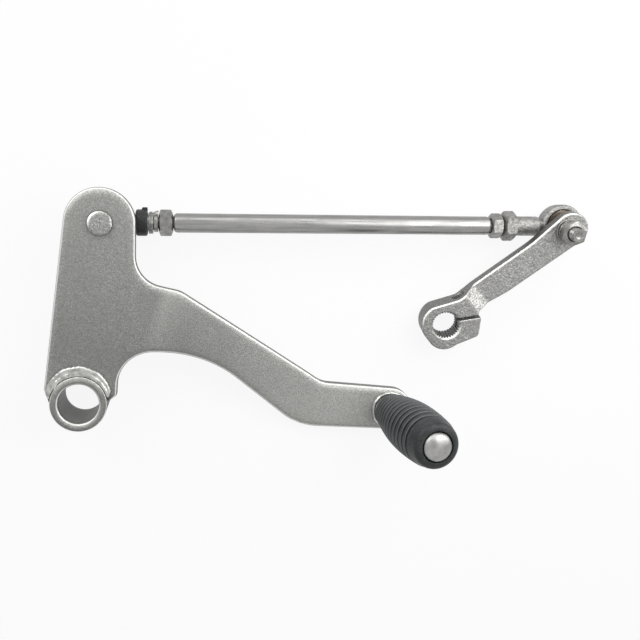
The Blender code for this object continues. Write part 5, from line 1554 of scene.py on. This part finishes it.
class LINKAGE_OT_shift_arm(PieceMaker, Operator):
    """Forge the shift arm, then bore, broach, slit and cross-drill its clamp"""

    bl_idname = "linkage.shift_arm"
    bl_label = "Shift Arm"

    def make(self, scene):
        detail = scene.linkage_arm
        arm = pressed("shift_arm_visual", arm_outline()[::-1], ARM_BACK, ARM_FRONT,
                      detail.edge_round, detail.edge_round)
        self.raise_clamp(arm)
        low = ARM_BACK - OVERCUT
        high = CLAMP_FRONT + 2 * OVERCUT

        bolt_hole = cutter("arm_bolt_hole", BOLT_RADIUS + CLEARANCE, low, high, HOLE_STEPS)
        teeth = moved(extruded("spline_teeth", spline_outline(detail.spline_count), low, high),
                      BORE_PLACE)
        wide = SPLINE_MAJOR_RADIUS + SPLINE_CHAMFER
        narrow = SPLINE_MINOR_RADIUS - 0.0006
        deep = wide - narrow
        mouths = []
        for name, face, out in (("mouth_front", CLAMP_FRONT, 1), ("mouth_back", ARM_BACK, -1)):
            profile = [(0, face + out * 0.001), (wide + 0.001, face + out * 0.001),
                       (narrow, face - out * deep), (0, face - out * deep)]
            mouths.append(moved(turned(name, profile, steps=HOLE_STEPS),
                                BORE_PLACE @ Matrix.Rotation(MOUTH_TURN, 4, "Z")))
        middle = CLAMP_TAB_LENGTH / 2 + 0.004
        reach = CLAMP_TAB_LENGTH / 2 + 0.001
        slit = [(middle + along * reach, SLIT_OFFSET + across * SLIT_WIDTH / 2)
                for along, across in ((-1, -1), (1, -1), (1, 1), (-1, 1))]
        saw = moved(extruded("clamp_slit", slit, low, high), BORE_PLACE @ SLIT_HEADING)
        drill = cutter("pinch_hole", PINCH_RADIUS, -PINCH_REACH, PINCH_REACH, PINCH_STEPS)
        cross = Matrix.Rotation(SLIT_TURN, 2) @ Vector((PINCH_OFFSET, 0))
        height = (ARM_BACK + CLAMP_FRONT) / 2
        moved(drill, Matrix.Translation((ARM_LENGTH + cross.x, cross.y, height))
              @ SLIT_HEADING @ Matrix.Rotation(QUARTER_TURN, 4, "X"))
        combined(arm, "DIFFERENCE", bolt_hole, teeth, *mouths, saw, drill)
        moved(arm, ARM_PLACE)
        dressed(arm, finish_of(scene, "blasted_casting"), "arm")

    def raise_clamp(self, arm):
        """Lift the arm's front face up a soft ramp to the clamp's thickness."""
        foot = ARM_LENGTH - RAMP_FOOT
        soft = RAMP_SOFTNESS
        shape = bmesh.new()
        shape.from_mesh(arm.data)
        for k in range(-2, 3):
            for start in (foot, foot + RAMP_RUN):
                sliced(shape, start + k * soft)

        def share(along):
            """Share of the clamp's extra thickness at a place along the arm."""
            return min(1.0, max(0.0, (along - foot) / RAMP_RUN))

        middle = (ARM_BACK + ARM_FRONT) / 2
        for vert in shape.verts:
            if vert.co.z > middle:
                along = vert.co.x
                eased = (share(along - soft) + 2 * share(along) + share(along + soft)) / 4
                vert.co.z += (CLAMP_THICKNESS - ARM_THICKNESS) * eased
        handed_back(shape, arm)


class LINKAGE_OT_stage(PieceMaker, Operator):
    """Set the pale floor, the soft light and the camera"""

    bl_idname = "linkage.stage"
    bl_label = "Stage"

    def make(self, scene):
        looks = scene.linkage_stage
        self.floor(looks)
        self.sky(scene, looks)
        self.lamps(scene, looks)
        self.camera(scene, looks)
        scene.view_settings.view_transform = "Standard"

    def floor(self, looks):
        """A wide pale floor that looks white and keeps the shadows."""
        shape = bmesh.new()
        bmesh.ops.create_grid(shape, x_segments=1, y_segments=1, size=3.0)
        ground = as_object("floor", shape)
        ground.location = (0.1, 0.03, -FLOOR_SINK)
        material = bpy.data.materials.new("pale_floor")
        material.use_nodes = True
        tree = material.node_tree
        bench = Bench(tree)
        tree.nodes.clear()
        colour = bench.grained(bench.noise(0.02, detail=3.0), 0.3, 0.7, looks.floor_colour, 0.985,
                               1.0)
        matt = bench.node("ShaderNodeBsdfDiffuse", {"Color": colour}).outputs["BSDF"]
        white = bench.node("ShaderNodeEmission", {"Color": (1, 1, 1, 1), "Strength": 1.0})
        both = bench.node("ShaderNodeMixShader", {
            "Fac": bench.background(0.90), 1: matt, 2: white.outputs["Emission"]})
        out = bench.node("ShaderNodeOutputMaterial", {})
        tree.links.new(both.outputs["Shader"], out.inputs["Surface"])
        ground.data.materials.append(material)

    def sky(self, scene, looks):
        """Light from all round, white overhead and darker on the near side."""
        world = bpy.data.worlds.new("studio")
        scene.world = world
        world.use_nodes = True
        tree = world.node_tree
        tree.nodes.clear()
        bench = Bench(tree)
        way = bench.node("ShaderNodeTexCoord", {}).outputs["Generated"]
        parts = bench.node("ShaderNodeSeparateXYZ", {"Vector": way})
        level = bench.product(bench.spread(parts.outputs["Y"], -0.7, 0.7, 0.62, 1.25),
                              looks.sky_level)
        light = bench.node("ShaderNodeBackground", {"Color": (1, 1, 1, 1), "Strength": level})
        white = bench.node("ShaderNodeBackground", {"Color": (1, 1, 1, 1), "Strength": 1.0})
        both = bench.node("ShaderNodeMixShader", {
            "Fac": bench.background(1.0), 1: light.outputs["Background"],
            2: white.outputs["Background"]})
        out = bench.node("ShaderNodeOutputWorld", {})
        tree.links.new(both.outputs["Shader"], out.inputs["Surface"])

    def lamps(self, scene, looks):
        """A low wide light behind the tie rod, a near one over the arm and one at each side."""
        for name, spot, wide, tall, power in LAMPS:
            lamp = bpy.data.lights.new(name, "AREA")
            lamp.shape = "RECTANGLE"
            lamp.size = wide
            lamp.size_y = tall
            lamp.energy = getattr(looks, power)
            holder = bpy.data.objects.new(name, lamp)
            holder.location = spot
            holder.visible_camera = False
            holder.rotation_euler = (LAMP_AIM - Vector(spot)).to_track_quat("-Z", "Y").to_euler()
            scene.collection.objects.link(holder)

    def camera(self, scene, looks):
        """The photograph's view, almost straight down from above the left joint."""
        camera = bpy.data.cameras.new("camera")
        camera.lens = looks.lens
        camera.sensor_width = 36.0
        camera.shift_x, camera.shift_y = CAMERA_SHIFT
        camera.clip_start = 0.01
        camera.clip_end = 10.0
        holder = bpy.data.objects.new("camera", camera)
        down = (Vector(CAMERA_AIM) - Vector(CAMERA_PLACE)).normalized()
        up = Vector((math.sin(CAMERA_ROLL), math.cos(CAMERA_ROLL), 0))
        right = down.cross(up).normalized()
        turn = Matrix((right, right.cross(down), -down)).transposed()
        holder.matrix_world = Matrix.Translation(CAMERA_PLACE) @ turn.to_4x4()
        scene.collection.objects.link(holder)
        scene.camera = holder


PIECE_OPERATORS = (
    LINKAGE_OT_lever_plate, LINKAGE_OT_pivot_tube, LINKAGE_OT_weld_beads, LINKAGE_OT_toe_peg,
    LINKAGE_OT_toe_rubber, LINKAGE_OT_ball_stud, LINKAGE_OT_left_joint, LINKAGE_OT_tie_rod,
    LINKAGE_OT_lock_nuts, LINKAGE_OT_rod_end, LINKAGE_OT_joint_bolt, LINKAGE_OT_shift_arm,
    LINKAGE_OT_stage,
)


class LINKAGE_PT_pieces(Panel):
    """Lists the sizes, the finishes and the pieces"""

    bl_idname = "LINKAGE_PT_pieces"
    bl_label = "Gear Shift Linkage"
    bl_space_type = "VIEW_3D"
    bl_region_type = "UI"
    bl_category = "Linkage"

    def draw(self, context):
        for pointer, group in GROUPS:
            box = self.layout.box()
            box.label(text=group.__doc__.split(".")[0])
            values = getattr(context.scene, pointer)
            for name in group.__annotations__:
                box.prop(values, name)
        for piece in PIECE_OPERATORS:
            self.layout.operator(piece.bl_idname)


CLASSES = tuple(group for _, group in GROUPS) + PIECE_OPERATORS + (LINKAGE_PT_pieces,)


def register():
    """Register the classes and hang the property groups on the scene."""
    for entry in CLASSES:
        bpy.utils.register_class(entry)
    for pointer, group in GROUPS:
        setattr(bpy.types.Scene, pointer, PointerProperty(type=group))


def unregister():
    """Take the property groups and the classes away again."""
    for pointer, _ in GROUPS:
        delattr(bpy.types.Scene, pointer)
    for entry in reversed(CLASSES):
        bpy.utils.unregister_class(entry)


def main():
    """Make every piece and the stage."""
    register()
    for piece in PIECE_OPERATORS:
        area, name = piece.bl_idname.split(".")
        getattr(getattr(bpy.ops, area), name)()


if __name__ == "__main__":
    main()
